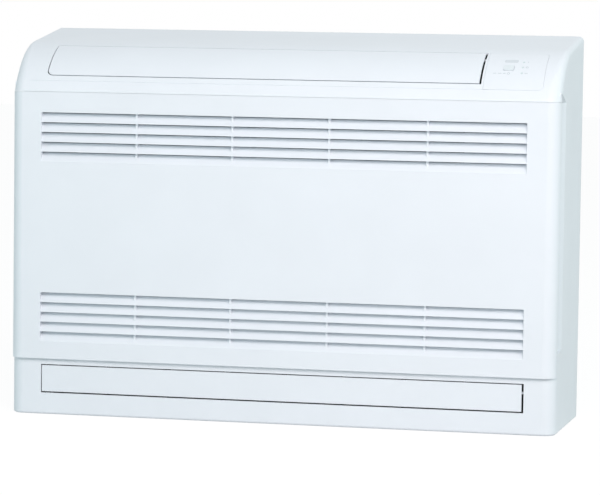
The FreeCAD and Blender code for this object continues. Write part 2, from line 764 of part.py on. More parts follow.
def lower_flap():
    """Flat lid of the bottom outlet with a pivot rod along its back."""
    lid = box(-LOWER_HALF, LOWER_HALF, BASE_INSET, BASE_INSET + FLAP_WALL, LOWER_FLAP_LOW, LOWER_FLAP_TOP)
    start = point(-LOWER_HALF + WALL, LOWER_PIVOT_DEPTH, LOWER_PIVOT_Z)
    bead = rod(start, Vector(1, 0, 0), BEAD_R, 2 * (LOWER_HALF - WALL))
    left = LOWER_BOSSES[0][0]
    right = LOWER_BOSSES[1][1] + BOSS_LONG
    pin = rod(point(left, LOWER_PIVOT_DEPTH, LOWER_PIVOT_Z), Vector(1, 0, 0), PIVOT_R, right - left)
    return join([lid, bead, pin])


def display_cover():
    """Thin cover of the control strip, let into the top beside the upper flap."""
    cover = display_strip(0, TOP_R, TOP_R - DISPLAY_WALL)
    holes = [button_column(BUTTON_GAP), window_column()] + lens_rods(LENS_R + DISPLAY_GAP)
    return cover.cut(Part.makeCompound(holes))


def display_lenses():
    """Indicator lenses, flush in the control strip."""
    strip = display_strip(0, TOP_R, TOP_R - DISPLAY_WALL)
    return Part.makeCompound([strip.common(column) for column in lens_rods(LENS_R)])


def receiver_window():
    """Smoky window over the remote control's receiver."""
    strip = display_strip(0, TOP_R, TOP_R - DISPLAY_WALL)
    return strip.common(window_column())


BOARD_TOP = -BOARD_DROP - BUTTON_TRAVEL


def power_button():
    """Push button of the control strip with its stem down to the switch."""
    high = BUTTON_PROUD
    cap = upright_block(BUTTON_X, BUTTON_BACK, BUTTON_LONG, BUTTON_WIDE, -WALL, high, BUTTON_CORNER_R)
    foot = Vector(BUTTON_X, BUTTON_BACK, BOARD_TOP + 2 * BUTTON_TRAVEL)
    stem = rod(foot, Vector(0, 0, 1), STEM_R, -BOARD_TOP - WALL)
    return tilted(join([cap, stem]))


def display_board():
    """Board under the control strip with the switch of the button."""
    left = BUTTON_X - BUTTON_LONG / 2
    right = DISPLAY_LEFT + DISPLAY_LONG - WALL
    face = BOARD_TOP - BOARD_WALL
    plate = block(left, right, -BOARD_HALF, BOARD_HALF, face - BOARD_WALL, face)
    half = SWITCH_HALF
    top = BOARD_TOP + BUTTON_TRAVEL - SWITCH_GAP
    y = BUTTON_BACK
    switch = block(BUTTON_X - half, BUTTON_X + half, y - half, y + half, face, top)
    return tilted(join([plate, switch]))


def display_posts():
    """Two posts between the top cover and the display board."""
    posts = []
    face = BOARD_TOP - BOARD_WALL
    x = DISPLAY_LEFT + DISPLAY_LONG - 4 * WALL
    for y in (-POST_HALF, POST_HALF):
        post = tilted(rod(Vector(x, y, face), Vector(0, 0, 1), POST_R, -face))
        inside = sector(STEEP, FLAT, TOP_R - WALL / 2, TOP_R / 2, x - POST_R, x + POST_R)
        posts.append(post.common(inside))
    return posts


VANE_LEFT = -FLAP_LEFT + 2 * DUCT_WALL
VANE_RIGHT = FLAP_RIGHT - 2 * DUCT_WALL
VANE_PITCH = (VANE_RIGHT - VANE_LEFT) / VANES
DUCT_TOP = -VANE_AXIS_DEEP + VANE_UP + 2 * DUCT_WALL
DUCT_LOW = -VANE_AXIS_DEEP - VANE_DOWN - DUCT_WALL


def vane_x(i):
    """Place across of one swinging vane."""
    return VANE_LEFT + (i + 0.5) * VANE_PITCH


def upper_outlet_frame():
    """Tube under the top outlet that carries the swinging vanes, hung from the flap's bosses."""
    left = UPPER_BOSSES[0][0]
    right = UPPER_BOSSES[1][1]
    outer = DUCT_HALF + DUCT_WALL
    tube = block(left, right, -outer, outer, DUCT_LOW, DUCT_TOP)
    hollow = block(-FLAP_LEFT, FLAP_RIGHT, -DUCT_HALF, DUCT_HALF, DUCT_LOW - WALL, DUCT_TOP + WALL)
    pins = []
    for i in range(VANES):
        start = Vector(vane_x(i), -outer - WALL, -VANE_AXIS_DEEP)
        pins.append(rod(start, Vector(0, 1, 0), VANE_PIN_R + RUN_FIT, 2 * (outer + WALL)))
    frame = tilted(tube.cut(hollow).cut(Part.makeCompound(pins)))
    hangers = []
    for x0, x1 in UPPER_BOSSES:
        spread = HANGER_HALF / TOP_R
        top = TOP_R - PIVOT_DEEP - PIVOT_R - WALL
        hangers.append(sector(PIVOT_ANGLE + spread, PIVOT_ANGLE - spread, top, top - VANE_AXIS_DEEP, x0, x1))
    return join([frame] + hangers)


def upper_vane(i):
    """One swinging vane with its two pivot pins and the pin that the link bar pushes."""
    x = vane_x(i)
    half = VANE_WIDE / 2
    reach = DUCT_HALF + DUCT_WALL
    axis_z = -VANE_AXIS_DEEP
    blade = block(x - VANE_WALL / 2, x + VANE_WALL / 2, -half, half, axis_z - VANE_DOWN, axis_z + VANE_UP)
    corners = [e for e in blade.Edges if abs(e.Vertexes[0].Point.x - e.Vertexes[1].Point.x) > 1e-6]
    blade = blade.makeFillet(VANE_CORNER_R, corners)
    pin = rod(Vector(x, -reach, axis_z), Vector(0, 1, 0), VANE_PIN_R, 2 * reach)
    foot = Vector(x, half - WALL, axis_z - LINK_ARM)
    link = rod(foot, Vector(0, 1, 0), LINK_PIN_R, LINK_WIDE + 2 * LINK_GAP + WALL)
    return tilted(join([blade, pin, link]))


def vane_link_bar():
    """Bar along the rear edge of the vanes, with an upright slot for the link pin of each."""
    front = VANE_WIDE / 2 + LINK_GAP
    z = -VANE_AXIS_DEEP - LINK_ARM
    swing = math.radians(VANE_SWING)
    lift = LINK_ARM * (1 - math.cos(swing))
    slip = LINK_ARM * (swing - math.sin(swing))
    x0 = vane_x(0) - LINK_HIGH
    x1 = vane_x(VANES - 1) + LINK_HIGH
    bar = block(x0, x1, front, front + LINK_WIDE, z + lift / 2 - LINK_HIGH / 2, z + lift / 2 + LINK_HIGH / 2)
    slots = []
    half = LINK_PIN_R + slip + RUN_FIT
    for i in range(VANES):
        x = vane_x(i)
        low = z - LINK_PIN_R - 2 * RUN_FIT
        high = z + lift + LINK_PIN_R + 2 * RUN_FIT
        slots.append(block(x - half, x + half, front - WALL, front + LINK_WIDE + WALL, low, high))
    return tilted(bar.cut(Part.makeCompound(slots)))


def filter_span(side):
    """Left and right edge of one air filter."""
    lap = RIM_SIDE - FILTER_LAP
    if side < 0:
        return COIL_LEFT + lap, FAN_X - FILTER_SPLIT / 2
    return FAN_X + FILTER_SPLIT / 2, COIL_RIGHT - lap


FILTER_LOW = PANEL_BOTTOM + RIM_LOW - FILTER_LAP
FILTER_TOP = CREASE_Z - RIM_TOP + FILTER_LAP


def filter_frame(side):
    """Moulded frame of one air filter with columns and rows of windows."""
    x0, x1 = filter_span(side)
    frame = box(x0, x1, FRAME_BACK, FRAME_BACK + FILTER_WALL, FILTER_LOW, FILTER_TOP)
    wide = (x1 - x0 - FILTER_BAR) / FILTER_COLUMNS
    high = (FILTER_TOP - FILTER_LOW - FILTER_BAR) / FILTER_ROWS
    windows = []
    for i in range(FILTER_COLUMNS):
        for j in range(FILTER_ROWS):
            x = x0 + FILTER_BAR + i * wide
            z = FILTER_LOW + FILTER_BAR + j * high
            x_end = x + wide - FILTER_BAR
            z_end = z + high - FILTER_BAR
            windows.append(box(x, x_end, FRAME_BACK - WALL, FRAME_BACK + 2 * FILTER_WALL, z, z_end))
    return frame.cut(Part.makeCompound(windows))


def filter_mesh(side):
    """Fine mesh of one air filter, a thin sheet on the back of its frame."""
    x0, x1 = filter_span(side)
    back = FRAME_BACK + FILTER_WALL
    return box(x0 + WALL, x1 - WALL, back, back + FILTER_MESH, FILTER_LOW + WALL, FILTER_TOP - WALL)


def coil_fins():
    """Fin block of the coil: upright fins with narrow gaps between them on both faces."""
    x0 = COIL_LEFT + PLATE_WALL
    x1 = COIL_RIGHT - PLATE_WALL
    count = int((x1 - x0) / FIN_PITCH)
    pitch = (x1 - x0) / count

    def face(depth, inward, order):
        corners = []
        for i in order:
            edge = x0 + i * pitch
            gap = [(edge - FIN_GROOVE / 2, depth), (edge - FIN_GROOVE / 2, inward)]
            gap += [(edge + FIN_GROOVE / 2, inward), (edge + FIN_GROOVE / 2, depth)]
            corners += gap if order.step > 0 else gap[::-1]
        return corners

    front = face(COIL_FRONT, COIL_FRONT + FIN_GROOVE_DEEP, range(1, count, 1))
    back = face(COIL_BACK, COIL_BACK - FIN_GROOVE_DEEP, range(count - 1, 0, -1))
    corners = [(x0, COIL_FRONT)] + front + [(x1, COIL_FRONT), (x1, COIL_BACK)] + back + [(x0, COIL_BACK)]
    return plan(corners, COIL_LOW + 3 * PAN_WALL, COIL_TOP)


def coil_end_plate(side):
    """End plate of the coil with a flange to the partition behind it."""
    x0, x1 = (COIL_LEFT, COIL_LEFT + PLATE_WALL) if side < 0 else (COIL_RIGHT - PLATE_WALL, COIL_RIGHT)
    web = box(x0, x1, COIL_FRONT - 2 * PLATE_WALL, PARTITION_DEPTH, COIL_LOW, COIL_TOP)
    f0, f1 = (x0, x0 + 6 * PLATE_WALL) if side < 0 else (x1 - 6 * PLATE_WALL, x1)
    flange = box(f0, f1, PARTITION_DEPTH - PLATE_WALL, PARTITION_DEPTH, COIL_LOW + PAN_HIGH, COIL_TOP)
    return join([web, flange])


def coil_bends(side):
    """Return bends of the coil's tubes outside one end plate."""
    x = COIL_LEFT if side < 0 else COIL_RIGHT
    depth = COIL_FRONT + COIL_THICK / 2
    low = GAS_Z + 6 * COIL_TUBE_R
    pitch = (COIL_TOP - low) / COIL_BENDS
    bend_r = pitch / 4
    bends = []
    for i in range(COIL_BENDS):
        bends.append(return_bend(x, side, depth, low + (i + 0.5) * pitch, bend_r))
    return Part.makeCompound(bends)


def return_bend(x, side, depth, z, bend_r):
    """Half ring of tube with flat sides, from one tube end up to the next."""
    sections = []
    for j in range(BEND_STEPS + 1):
        turn = math.pi * (j / BEND_STEPS - 0.5)
        loop = []
        for k in range(TUBE_SIDES):
            t = 2 * math.pi * (k + 0.5) / TUBE_SIDES
            reach = bend_r + COIL_TUBE_R * math.cos(t)
            across = x + side * reach * math.cos(turn)
            loop.append(point(across, depth + COIL_TUBE_R * math.sin(t), z + reach * math.sin(turn)))
        sections.append(Part.makePolygon(loop + loop[:1]))
    return Part.makeLoft(sections, True, True)


def drain_pan():
    """Trough under the coil with a spout at its right end."""
    x0 = COIL_LEFT - PAN_WALL
    x1 = COIL_RIGHT + PAN_WALL
    back = PARTITION_DEPTH
    outer = box(x0, x1, PAN_FRONT, back, PAN_Z, PAN_Z + PAN_HIGH)
    above = PAN_Z + PAN_HIGH + PAN_WALL
    inner = box(COIL_LEFT, COIL_RIGHT, PAN_FRONT + PAN_WALL, back - PAN_WALL, COIL_LOW, above)
    middle = (PAN_FRONT + back) / 2
    spout_z = PAN_Z + SPOUT_R + PAN_WALL
    spout = rod(point(COIL_RIGHT, middle, spout_z), Vector(1, 0, 0), SPOUT_R, SPOUT_LONG)
    bore_start = point(COIL_RIGHT - PAN_WALL, middle, spout_z)
    bore = rod(bore_start, Vector(1, 0, 0), SPOUT_R - PAN_WALL, SPOUT_LONG + 2 * PAN_WALL)
    slits = []
    for x in (COIL_LEFT, COIL_RIGHT - PLATE_WALL):
        slits.append(box(x, x + PLATE_WALL, back - 2 * PAN_WALL, back, COIL_LOW, PAN_Z + 2 * PAN_HIGH))
    return join([outer.cut(inner), spout]).cut(Part.makeCompound([bore] + slits))


def lower_outlet_duct():
    """Duct behind the lower flap: floor, roof under the drain pan, end walls and fixed ribs."""
    half = LOWER_HALF - WALL
    front = LOWER_PIVOT_DEPTH + BEAD_R + WALL
    back = PARTITION_DEPTH
    roof = box(-half, half, FRAME_BACK, back, PAN_Z - DUCT_WALL, PAN_Z)
    floor = box(-half, half, front, back, DUCT_FLOOR, DUCT_FLOOR + DUCT_WALL)
    pieces = [roof, floor]
    for s in (-1, 1):
        x0, x1 = sorted((s * half, s * (half - DUCT_WALL)))
        pieces.append(box(x0, x1, FRAME_BACK, back, WALL, PAN_Z))
    for i in range(DUCT_RIBS):
        x = -half + (i + 1) * 2 * half / (DUCT_RIBS + 1)
        wall = RIB_WALL / 2
        pieces.append(box(x - wall, x + wall, RIB_START, RIB_START + RIB_LONG, DUCT_FLOOR, PAN_Z))
    return join(pieces)


def revolved(profile):
    """Ring or disc about the fan's axis from (radius, depth) corners."""
    loop = [point(FAN_X + radius, depth, FAN_Z) for radius, depth in profile]
    face = Part.Face(Part.makePolygon(loop + loop[:1]))
    return face.revolve(point(FAN_X, 0, FAN_Z), Vector(0, 1, 0), 360)


def partition():
    """Plate between coil and fan with the rounded inlet ring of the fan."""
    right = HALF - LEFT_BAY
    plate = box(COIL_LEFT, right, PARTITION_DEPTH, PARTITION_BACK, PAN_Z, COIL_TOP)
    notch = box(COIL_RIGHT + PAN_WALL, right, PARTITION_DEPTH, PARTITION_BACK, PAN_Z, BOX_LOW)
    hole = rod(point(FAN_X, PARTITION_DEPTH, FAN_Z), Vector(0, 1, 0), FAN_INLET_R, PARTITION_WALL)
    lip = FAN_FRONT + FAN_SHEET / 2
    outer = FAN_INLET_R + 2 * PARTITION_WALL
    inner = FAN_INLET_R - PARTITION_WALL
    ring = revolved([
        (outer, PARTITION_BACK),
        (FAN_INLET_R, PARTITION_DEPTH),
        (inner, PARTITION_BACK),
        (inner, PARTITION_BACK + lip),
        (FAN_INLET_R, PARTITION_BACK + lip),
        (FAN_INLET_R, PARTITION_BACK + PARTITION_WALL),
    ])
    return join([plate.cut(notch).cut(hole), ring])


def fan_blade(i):
    """One backward-curved blade, an arc-shaped strip carried along the fan's depth."""
    start = 2 * math.pi * i / FAN_BLADES
    sweep = math.radians(BLADE_SWEEP)
    outer_r = FAN_R - FAN_SHEET
    middle_r = (BLADE_INNER_R + outer_r) / 2
    front = PARTITION_BACK + FAN_FRONT + FAN_SHEET

    def side(shift):
        stations = ((BLADE_INNER_R, 0), (middle_r, BLADE_BEND), (outer_r, 1))
        places = []
        for radius, share in stations:
            angle = start - sweep * share + shift / radius
            places.append(point(FAN_X + radius * math.cos(angle), front, FAN_Z + radius * math.sin(angle)))
        return places

    a, b, c = side(0)
    f, e, d = side(BLADE_WALL)
    return bent_strip(a, b, c, d, e, f).extrude(Vector(0, FAN_BACK - FAN_SHEET / 2 - front, 0))


def turbo_fan():
    """Centrifugal fan: back disc with a raised hub, backward-curved blades and a front ring."""
    front = PARTITION_BACK + FAN_FRONT
    cone_r = MOTOR_R + HUB_R
    bore = SHAFT_R + SHAFT_FIT
    disc = revolved([
        (bore, FAN_BACK - HUB_DEEP),
        (HUB_R, FAN_BACK - HUB_DEEP),
        (cone_r, FAN_BACK - FAN_SHEET),
        (FAN_R, FAN_BACK - FAN_SHEET),
        (FAN_R, FAN_BACK),
        (cone_r - FAN_SHEET, FAN_BACK),
        (HUB_R, FAN_BACK - HUB_DEEP + 2 * FAN_SHEET),
        (HUB_R, FAN_BACK - FAN_SHEET),
        (bore, FAN_BACK - FAN_SHEET),
    ])
    ring_inner = FAN_INLET_R + FAN_SHEET
    lift = 2 * FAN_SHEET
    ring = revolved([
        (ring_inner, front),
        (ring_inner + FAN_SHEET, front),
        (FAN_R, front + lift),
        (FAN_R, front + lift + FAN_SHEET),
        (ring_inner, front + FAN_SHEET),
    ])
    return join([disc, ring] + [fan_blade(i) for i in range(FAN_BLADES)])


NUT_FRONT = FAN_BACK - HUB_DEEP - NUT_THICK
MOTOR_FRONT = FAN_BACK + MOTOR_GAP
BRACKET_FRONT = BACK_FACE - BRACKET_WALL
SHAFT_BACK = (MOTOR_FRONT + BRACKET_FRONT) / 2


def fan_shaft():
    """Motor shaft that carries the fan."""
    long = SHAFT_BACK - NUT_FRONT
    return rod(point(FAN_X, NUT_FRONT, FAN_Z), Vector(0, 1, 0), SHAFT_R, long)


def hexagon(centre, across, thick):
    """Hexagonal block along Y."""
    radius = across / math.sqrt(3)
    angles = [math.pi / 3 * i for i in range(6)]
    loop = [centre + Vector(radius * math.cos(t), 0, radius * math.sin(t)) for t in angles]
    return Part.Face(Part.makePolygon(loop + loop[:1])).extrude(Vector(0, thick, 0))


def fan_nut():
    """Nut that holds the fan on the shaft."""
    nut = hexagon(point(FAN_X, NUT_FRONT, FAN_Z), NUT_ACROSS, NUT_THICK)
    return nut.cut(rod(point(FAN_X, NUT_FRONT, FAN_Z), Vector(0, 1, 0), SHAFT_R + SHAFT_FIT, NUT_THICK))


def fan_motor():
    """Flat fan motor with stepped end bells and a bearing bore for the shaft."""
    long = BRACKET_FRONT - MOTOR_FRONT
    step = long / 4
    body = revolved([
        (0, MOTOR_FRONT),
        (MOTOR_R - step, MOTOR_FRONT),
        (MOTOR_R, MOTOR_FRONT + step),
        (MOTOR_R, BRACKET_FRONT - step),
        (MOTOR_R - step, BRACKET_FRONT),
        (0, BRACKET_FRONT),
    ])
    deep = SHAFT_BACK + SHAFT_END_GAP - MOTOR_FRONT
    bore = rod(point(FAN_X, MOTOR_FRONT, FAN_Z), Vector(0, 1, 0), SHAFT_R + SHAFT_FIT, deep)
    return body.cut(bore)


def bracket_screw_places():
    """Places of the screws that hold the motor bracket."""
    radius = BRACKET_R - 2 * SCREW_HEAD_R
    angles = [math.radians(BRACKET_TURN + 360 / BRACKET_SCREWS * i) for i in range(BRACKET_SCREWS)]
    return [(FAN_X + radius * math.cos(t), FAN_Z + radius * math.sin(t)) for t in angles]


def motor_bracket():
    """Round plate that carries the motor on the chassis."""
    plate = rod(point(FAN_X, BRACKET_FRONT, FAN_Z), Vector(0, 1, 0), BRACKET_R, BRACKET_WALL)
    holes = []
    for x, z in bracket_screw_places():
        start = point(x, BRACKET_FRONT, z)
        holes.append(rod(start, Vector(0, 1, 0), SCREW_SHANK_R + SCREW_FIT, BRACKET_WALL))
    return plate.cut(Part.makeCompound(holes))


def screw(x, depth, z, long):
    """Pan-head screw whose head seats at a depth and whose shank runs to the rear."""
    crown = point(x, depth - SCREW_HEAD, z)
    head = Part.makeCone(SCREW_CROWN_R, SCREW_HEAD_R, SCREW_HEAD, crown, Vector(0, 1, 0))
    return join([head, rod(point(x, depth, z), Vector(0, 1, 0), SCREW_SHANK_R, long)])


def rear_chassis():
    """Rear tray with rim, two scroll walls round the fan, screw holes and the window for the pipes."""
    rim_front = DEPTH - CHASSIS_RIM
    outer = skin(WALL + CHASSIS_FIT, WALL, DEPTH)
    outer = outer.common(box(-HALF, HALF, rim_front, DEPTH, WALL, HEIGHT))
    inner = skin(2 * WALL + CHASSIS_FIT, 2 * WALL, DEPTH)
    tray = outer.cut(inner.common(box(-HALF, HALF, 0, BACK_FACE, 0, HEIGHT)))
    scroll_r = FAN_R + SCROLL_GAP
    walls = []
    start = point(FAN_X, PARTITION_BACK, FAN_Z)
    long = BACK_FACE - PARTITION_BACK
    ring = rod(start, Vector(0, 1, 0), scroll_r + DUCT_WALL, long)
    ring = ring.cut(rod(start, Vector(0, 1, 0), scroll_r, long))
    reach = 2 * scroll_r
    tip = math.radians(SCROLL_ANGLE)
    for s in (-1, 1):
        tips = [start + Vector(s * reach * math.cos(t), 0, reach * math.sin(t)) for t in (-tip, tip)]
        wedge = Part.Face(Part.makePolygon([start] + tips + [start])).extrude(Vector(0, long, 0))
        walls.append(ring.common(wedge))
    tray = join([tray] + walls)
    cuts = []
    for x in (-1, 1):
        for z in (SCREW_LOW, SCREW_HIGH):
            start = point(x * (HALF - SCREW_INSET), BACK_FACE, z)
            cuts.append(rod(start, Vector(0, 1, 0), SCREW_HOLE_R, BACK_WALL))
    window_x = COIL_RIGHT + (GAS_OUT + LIQUID_OUT) / 2
    window_z = (GAS_Z + LIQUID_Z) / 2
    cuts.append(box(
        window_x - PIPE_WINDOW_LONG / 2, window_x + PIPE_WINDOW_LONG / 2, BACK_FACE, DEPTH,
        window_z - PIPE_WINDOW_HIGH / 2, window_z + PIPE_WINDOW_HIGH / 2))
    for x, z in bracket_screw_places():
        cuts.append(rod(point(x, BACK_FACE, z), Vector(0, 1, 0), SCREW_SHANK_R + SCREW_FIT, BACK_WALL))
    return tray.cut(Part.makeCompound(cuts)).cut(Part.makeCompound(back_beads()))


def back_beads():
    """Shallow stiffening beads in the back: a ring round the motor and upright channels beside it."""
    start = point(FAN_X, DEPTH - BEAD_DEEP, FAN_Z)
    back = Vector(0, 1, 0)
    ring = rod(start, back, MOTOR_RING_R + BEAD_WIDE / 2, 2 * BEAD_DEEP)
    beads = [ring.cut(rod(start, back, MOTOR_RING_R - BEAD_WIDE / 2, 2 * BEAD_DEEP))]
    clear = rod(start, back, MOTOR_RING_R + MOTOR_RING_GAP, 2 * BEAD_DEEP)
    top = HEIGHT - BEAD_DROP
    half = BEAD_WIDE / 2
    for i in range(BEADS):
        x = (HALF - BEAD_MARGIN) * (2 * i / (BEADS - 1) - 1)
        channel = box(x - half, x + half, DEPTH - BEAD_DEEP, DEPTH + BEAD_DEEP, BEAD_LOW, top)
        ends = [rod(point(x, DEPTH - BEAD_DEEP, z), back, half, 2 * BEAD_DEEP) for z in (BEAD_LOW, top)]
        beads.append(join([channel] + ends).cut(clear))
    return beads


BOX_LEFT = COIL_RIGHT + BOX_CLEAR
BOX_RIGHT = HALF - LEFT_BAY
BOX_TOP = CREASE_Z - BOX_TOP_DROP
BOX_FRONT = PARTITION_DEPTH - BOX_DEEP


def control_box():
    """Open tray on the partition that holds the electrics."""
    outer = box(BOX_LEFT, BOX_RIGHT, BOX_FRONT, PARTITION_DEPTH, BOX_LOW, BOX_TOP)
    inner = box(
        BOX_LEFT + BOX_WALL, BOX_RIGHT - BOX_WALL, BOX_FRONT, PARTITION_DEPTH - BOX_WALL,
        BOX_LOW + BOX_WALL, BOX_TOP - BOX_WALL)
    return outer.cut(inner)


def control_box_cover():
    """Sheet cover of the control box."""
    return box(BOX_LEFT, BOX_RIGHT, BOX_FRONT - BOX_WALL, BOX_FRONT, BOX_LOW, BOX_TOP)


def control_board():
    """Main board with its larger components, standing on the floor of the control box."""
    floor = PARTITION_DEPTH - BOX_WALL
    face = floor - STANDOFF
    x0 = BOX_LEFT + 2 * BOX_WALL
    x1 = BOX_RIGHT - 2 * BOX_WALL
    low = (BOX_LOW + BOX_TOP) / 2 - BOARD_RISE
    top = BOX_TOP - 2 * BOX_WALL
    pieces = [box(x0, x1, face, face + BOARD_WALL, low, top)]
    for x in (x0 + FOOT, x1 - 2 * FOOT):
        for z in (low + FOOT, top - 2 * FOOT):
            pieces.append(box(x, x + FOOT, face + BOARD_WALL, floor, z, z + FOOT))
    middle = (x0 + x1) / 2
    for across, up, radius, high in CAPACITORS:
        foot = point(middle + across, face, low + up * (top - low))
        pieces.append(rod(foot, Vector(0, -1, 0), radius, high))
    for left, right, bottom, upper, deep in BOARD_BLOCKS:
        z0, z1 = [low + share * (top - low) for share in (bottom, upper)]
        pieces.append(box(middle + left, middle + right, face - deep, face, z0, z1))
    return join(pieces)


def terminal_block():
    """Terminal block on the floor of the control box with a row of raised barriers."""
    floor = PARTITION_DEPTH - BOX_WALL
    x0 = BOX_LEFT + 6 * BOX_WALL
    x1 = BOX_RIGHT - 6 * BOX_WALL
    z0 = BOX_LOW + TERMINAL_RISE
    z1 = z0 + TERMINAL_HIGH
    face = floor - TERMINAL_DEEP
    pieces = [box(x0, x1, face, floor, z0, z1)]
    pitch = (x1 - x0 - BARRIER_WALL) / TERMINAL_POLES
    for i in range(TERMINAL_POLES + 1):
        x = x0 + i * pitch
        pieces.append(box(x, x + BARRIER_WALL, face - BARRIER_DEEP, face, z0, z1))
    return join(pieces)


def stepper(start, drop):
    """Small flap motor: round can set off from the shaft it turns, with a bored nose for the pin."""
    can = rod(start + drop, Vector(1, 0, 0), STEPPER_R, STEPPER_LONG)
    nose = rod(start, Vector(1, 0, 0), PIVOT_DEEP - WALL - RUN_GAP, STEPPER_LONG)
    bore = rod(start, Vector(1, 0, 0), PIVOT_R + RUN_FIT, BOSS_LONG + RUN_GAP)
    return join([can, nose]).cut(bore)


def upper_flap_motor():
    """Motor that turns the upper flap, seated on the right-hand boss."""
    x = UPPER_BOSSES[1][1]
    inward = Vector(0, STEPPER_R * math.sin(PIVOT_ANGLE), -STEPPER_R * math.cos(PIVOT_ANGLE))
    return stepper(pivot_place(x), inward)


def lower_flap_motor():
    """Motor that turns the lower flap, seated on the right-hand boss."""
    x = LOWER_BOSSES[1][1]
    return stepper(point(x, LOWER_PIVOT_DEPTH, LOWER_PIVOT_Z), Vector(0, STEPPER_R, 0))


def pipe(radius, depth, z, out):
    """Refrigerant pipe from the coil's end plate: out to the right, round a bend and back to the wall."""
    end_depth = BACK_FACE - UNION_INSET - UNION_THREAD - UNION_HEX
    a = point(COIL_RIGHT, depth, z)
    b = point(COIL_RIGHT + out - PIPE_BEND_R, depth, z)
    slant = PIPE_BEND_R * math.sqrt(0.5)
    m = point(COIL_RIGHT + out - PIPE_BEND_R + slant, depth + PIPE_BEND_R - slant, z)
    c = point(COIL_RIGHT + out, depth + PIPE_BEND_R, z)
    d = point(COIL_RIGHT + out, end_depth, z)
    path = Part.Wire([Part.makeLine(a, b), Part.Arc(b, m, c).toShape(), Part.makeLine(c, d)])
    ring = Part.Wire([Part.makeCircle(radius, a, Vector(1, 0, 0))])
    return path.makePipeShell([ring], True, False)


def union(thread_r, z, out):
    """Flare union at the end of a pipe: hexagon and threaded nose towards the wall."""
    front = BACK_FACE - UNION_INSET - UNION_THREAD - UNION_HEX
    centre = point(COIL_RIGHT + out, front, z)
    body = hexagon(centre, 2 * thread_r + 4 * UNION_WALL, UNION_HEX)
    seat = point(COIL_RIGHT + out, front + UNION_HEX, z)
    nose = rod(seat, Vector(0, 1, 0), thread_r, UNION_THREAD)
    bore = rod(seat, Vector(0, 1, 0), thread_r - 3 * UNION_WALL, UNION_THREAD)
    return join([body, nose]).cut(bore)


def save(name, shape):
    """Writes one piece."""
    shape.exportStep("parts/" + name + ".step")


def main():
    """Builds every piece and writes it under its own name."""
    os.makedirs("parts", exist_ok=True)
    gas_depth = COIL_FRONT + COIL_THICK * GAS_SHARE
    liquid_depth = COIL_FRONT + COIL_THICK * LIQUID_SHARE
    pieces = {
        "cabinet": cabinet(),
        "front_panel": front_panel(),
        "upper_flap": upper_flap(),
        "lower_flap": lower_flap(),
        "display_cover": display_cover(),
        "display_lenses": display_lenses(),
        "receiver_window": receiver_window(),
        "power_button": power_button(),
        "display_board": display_board(),
        "upper_outlet_frame": upper_outlet_frame(),
        "vane_link_bar": vane_link_bar(),
        "lower_outlet_duct": lower_outlet_duct(),
        "filter_frame_left": filter_frame(-1),
        "filter_frame_right": filter_frame(1),
        "filter_mesh_left": filter_mesh(-1),
        "filter_mesh_right": filter_mesh(1),
        "coil_fins": coil_fins(),
        "coil_end_plate_left": coil_end_plate(-1),
        "coil_end_plate_right": coil_end_plate(1),
        "coil_bends_left": coil_bends(-1),
        "coil_bends_right": coil_bends(1),
        "drain_pan": drain_pan(),
        "partition": partition(),
        "turbo_fan": turbo_fan(),
        "fan_shaft": fan_shaft(),
        "fan_nut": fan_nut(),
        "fan_motor": fan_motor(),
        "motor_bracket": motor_bracket(),
        "motor_screws": Part.makeCompound(
            [screw(x, BRACKET_FRONT, z, BRACKET_WALL) for x, z in bracket_screw_places()]),
        "rear_chassis": rear_chassis(),
        "control_box": control_box(),
        "control_box_cover": control_box_cover(),
        "control_board": control_board(),
        "terminal_block": terminal_block(),
        "upper_flap_motor": upper_flap_motor(),
        "lower_flap_motor": lower_flap_motor(),
        "gas_pipe": pipe(GAS_R, gas_depth, GAS_Z, GAS_OUT),
        "liquid_pipe": pipe(LIQUID_R, liquid_depth, LIQUID_Z, LIQUID_OUT),
        "gas_union": union(GAS_UNION_R, GAS_Z, GAS_OUT),
        "liquid_union": union(LIQUID_UNION_R, LIQUID_Z, LIQUID_OUT),
        "cabinet_screws": Part.makeCompound(
            [screw(x, BAY_BACK, z, SCREW_LONG) for x, z in cabinet_screw_places()]),
    }
    for i in range(VANES):
        pieces["upper_vane_%02d" % (i + 1)] = upper_vane(i)
    for name, shape in pieces.items():
        save(name, shape)


main()
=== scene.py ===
"""Console air conditioner, indoor unit.

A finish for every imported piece, the printed marks of the control strip, the open weave of the filters,
the fins and tubes of the coil, the crossed heads of the screws, and the studio with its camera.
"""
import json
import math

import bmesh
import bpy
import numpy as np
from mathutils import Matrix, Vector


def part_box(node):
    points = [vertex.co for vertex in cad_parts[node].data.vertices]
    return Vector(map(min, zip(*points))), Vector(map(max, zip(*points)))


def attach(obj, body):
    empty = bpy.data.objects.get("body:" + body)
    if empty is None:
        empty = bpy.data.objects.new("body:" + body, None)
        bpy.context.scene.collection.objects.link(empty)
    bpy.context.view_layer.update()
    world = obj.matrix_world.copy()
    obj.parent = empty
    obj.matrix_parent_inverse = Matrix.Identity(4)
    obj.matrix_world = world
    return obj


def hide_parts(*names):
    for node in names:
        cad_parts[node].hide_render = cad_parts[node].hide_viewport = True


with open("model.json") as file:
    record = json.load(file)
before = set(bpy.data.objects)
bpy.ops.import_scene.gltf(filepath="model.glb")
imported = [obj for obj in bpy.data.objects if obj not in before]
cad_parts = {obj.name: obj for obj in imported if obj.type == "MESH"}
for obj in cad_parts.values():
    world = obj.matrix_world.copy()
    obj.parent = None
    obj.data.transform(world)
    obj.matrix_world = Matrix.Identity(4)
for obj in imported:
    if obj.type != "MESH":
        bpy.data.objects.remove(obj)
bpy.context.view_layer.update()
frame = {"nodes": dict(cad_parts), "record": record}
NODES = frame["nodes"]

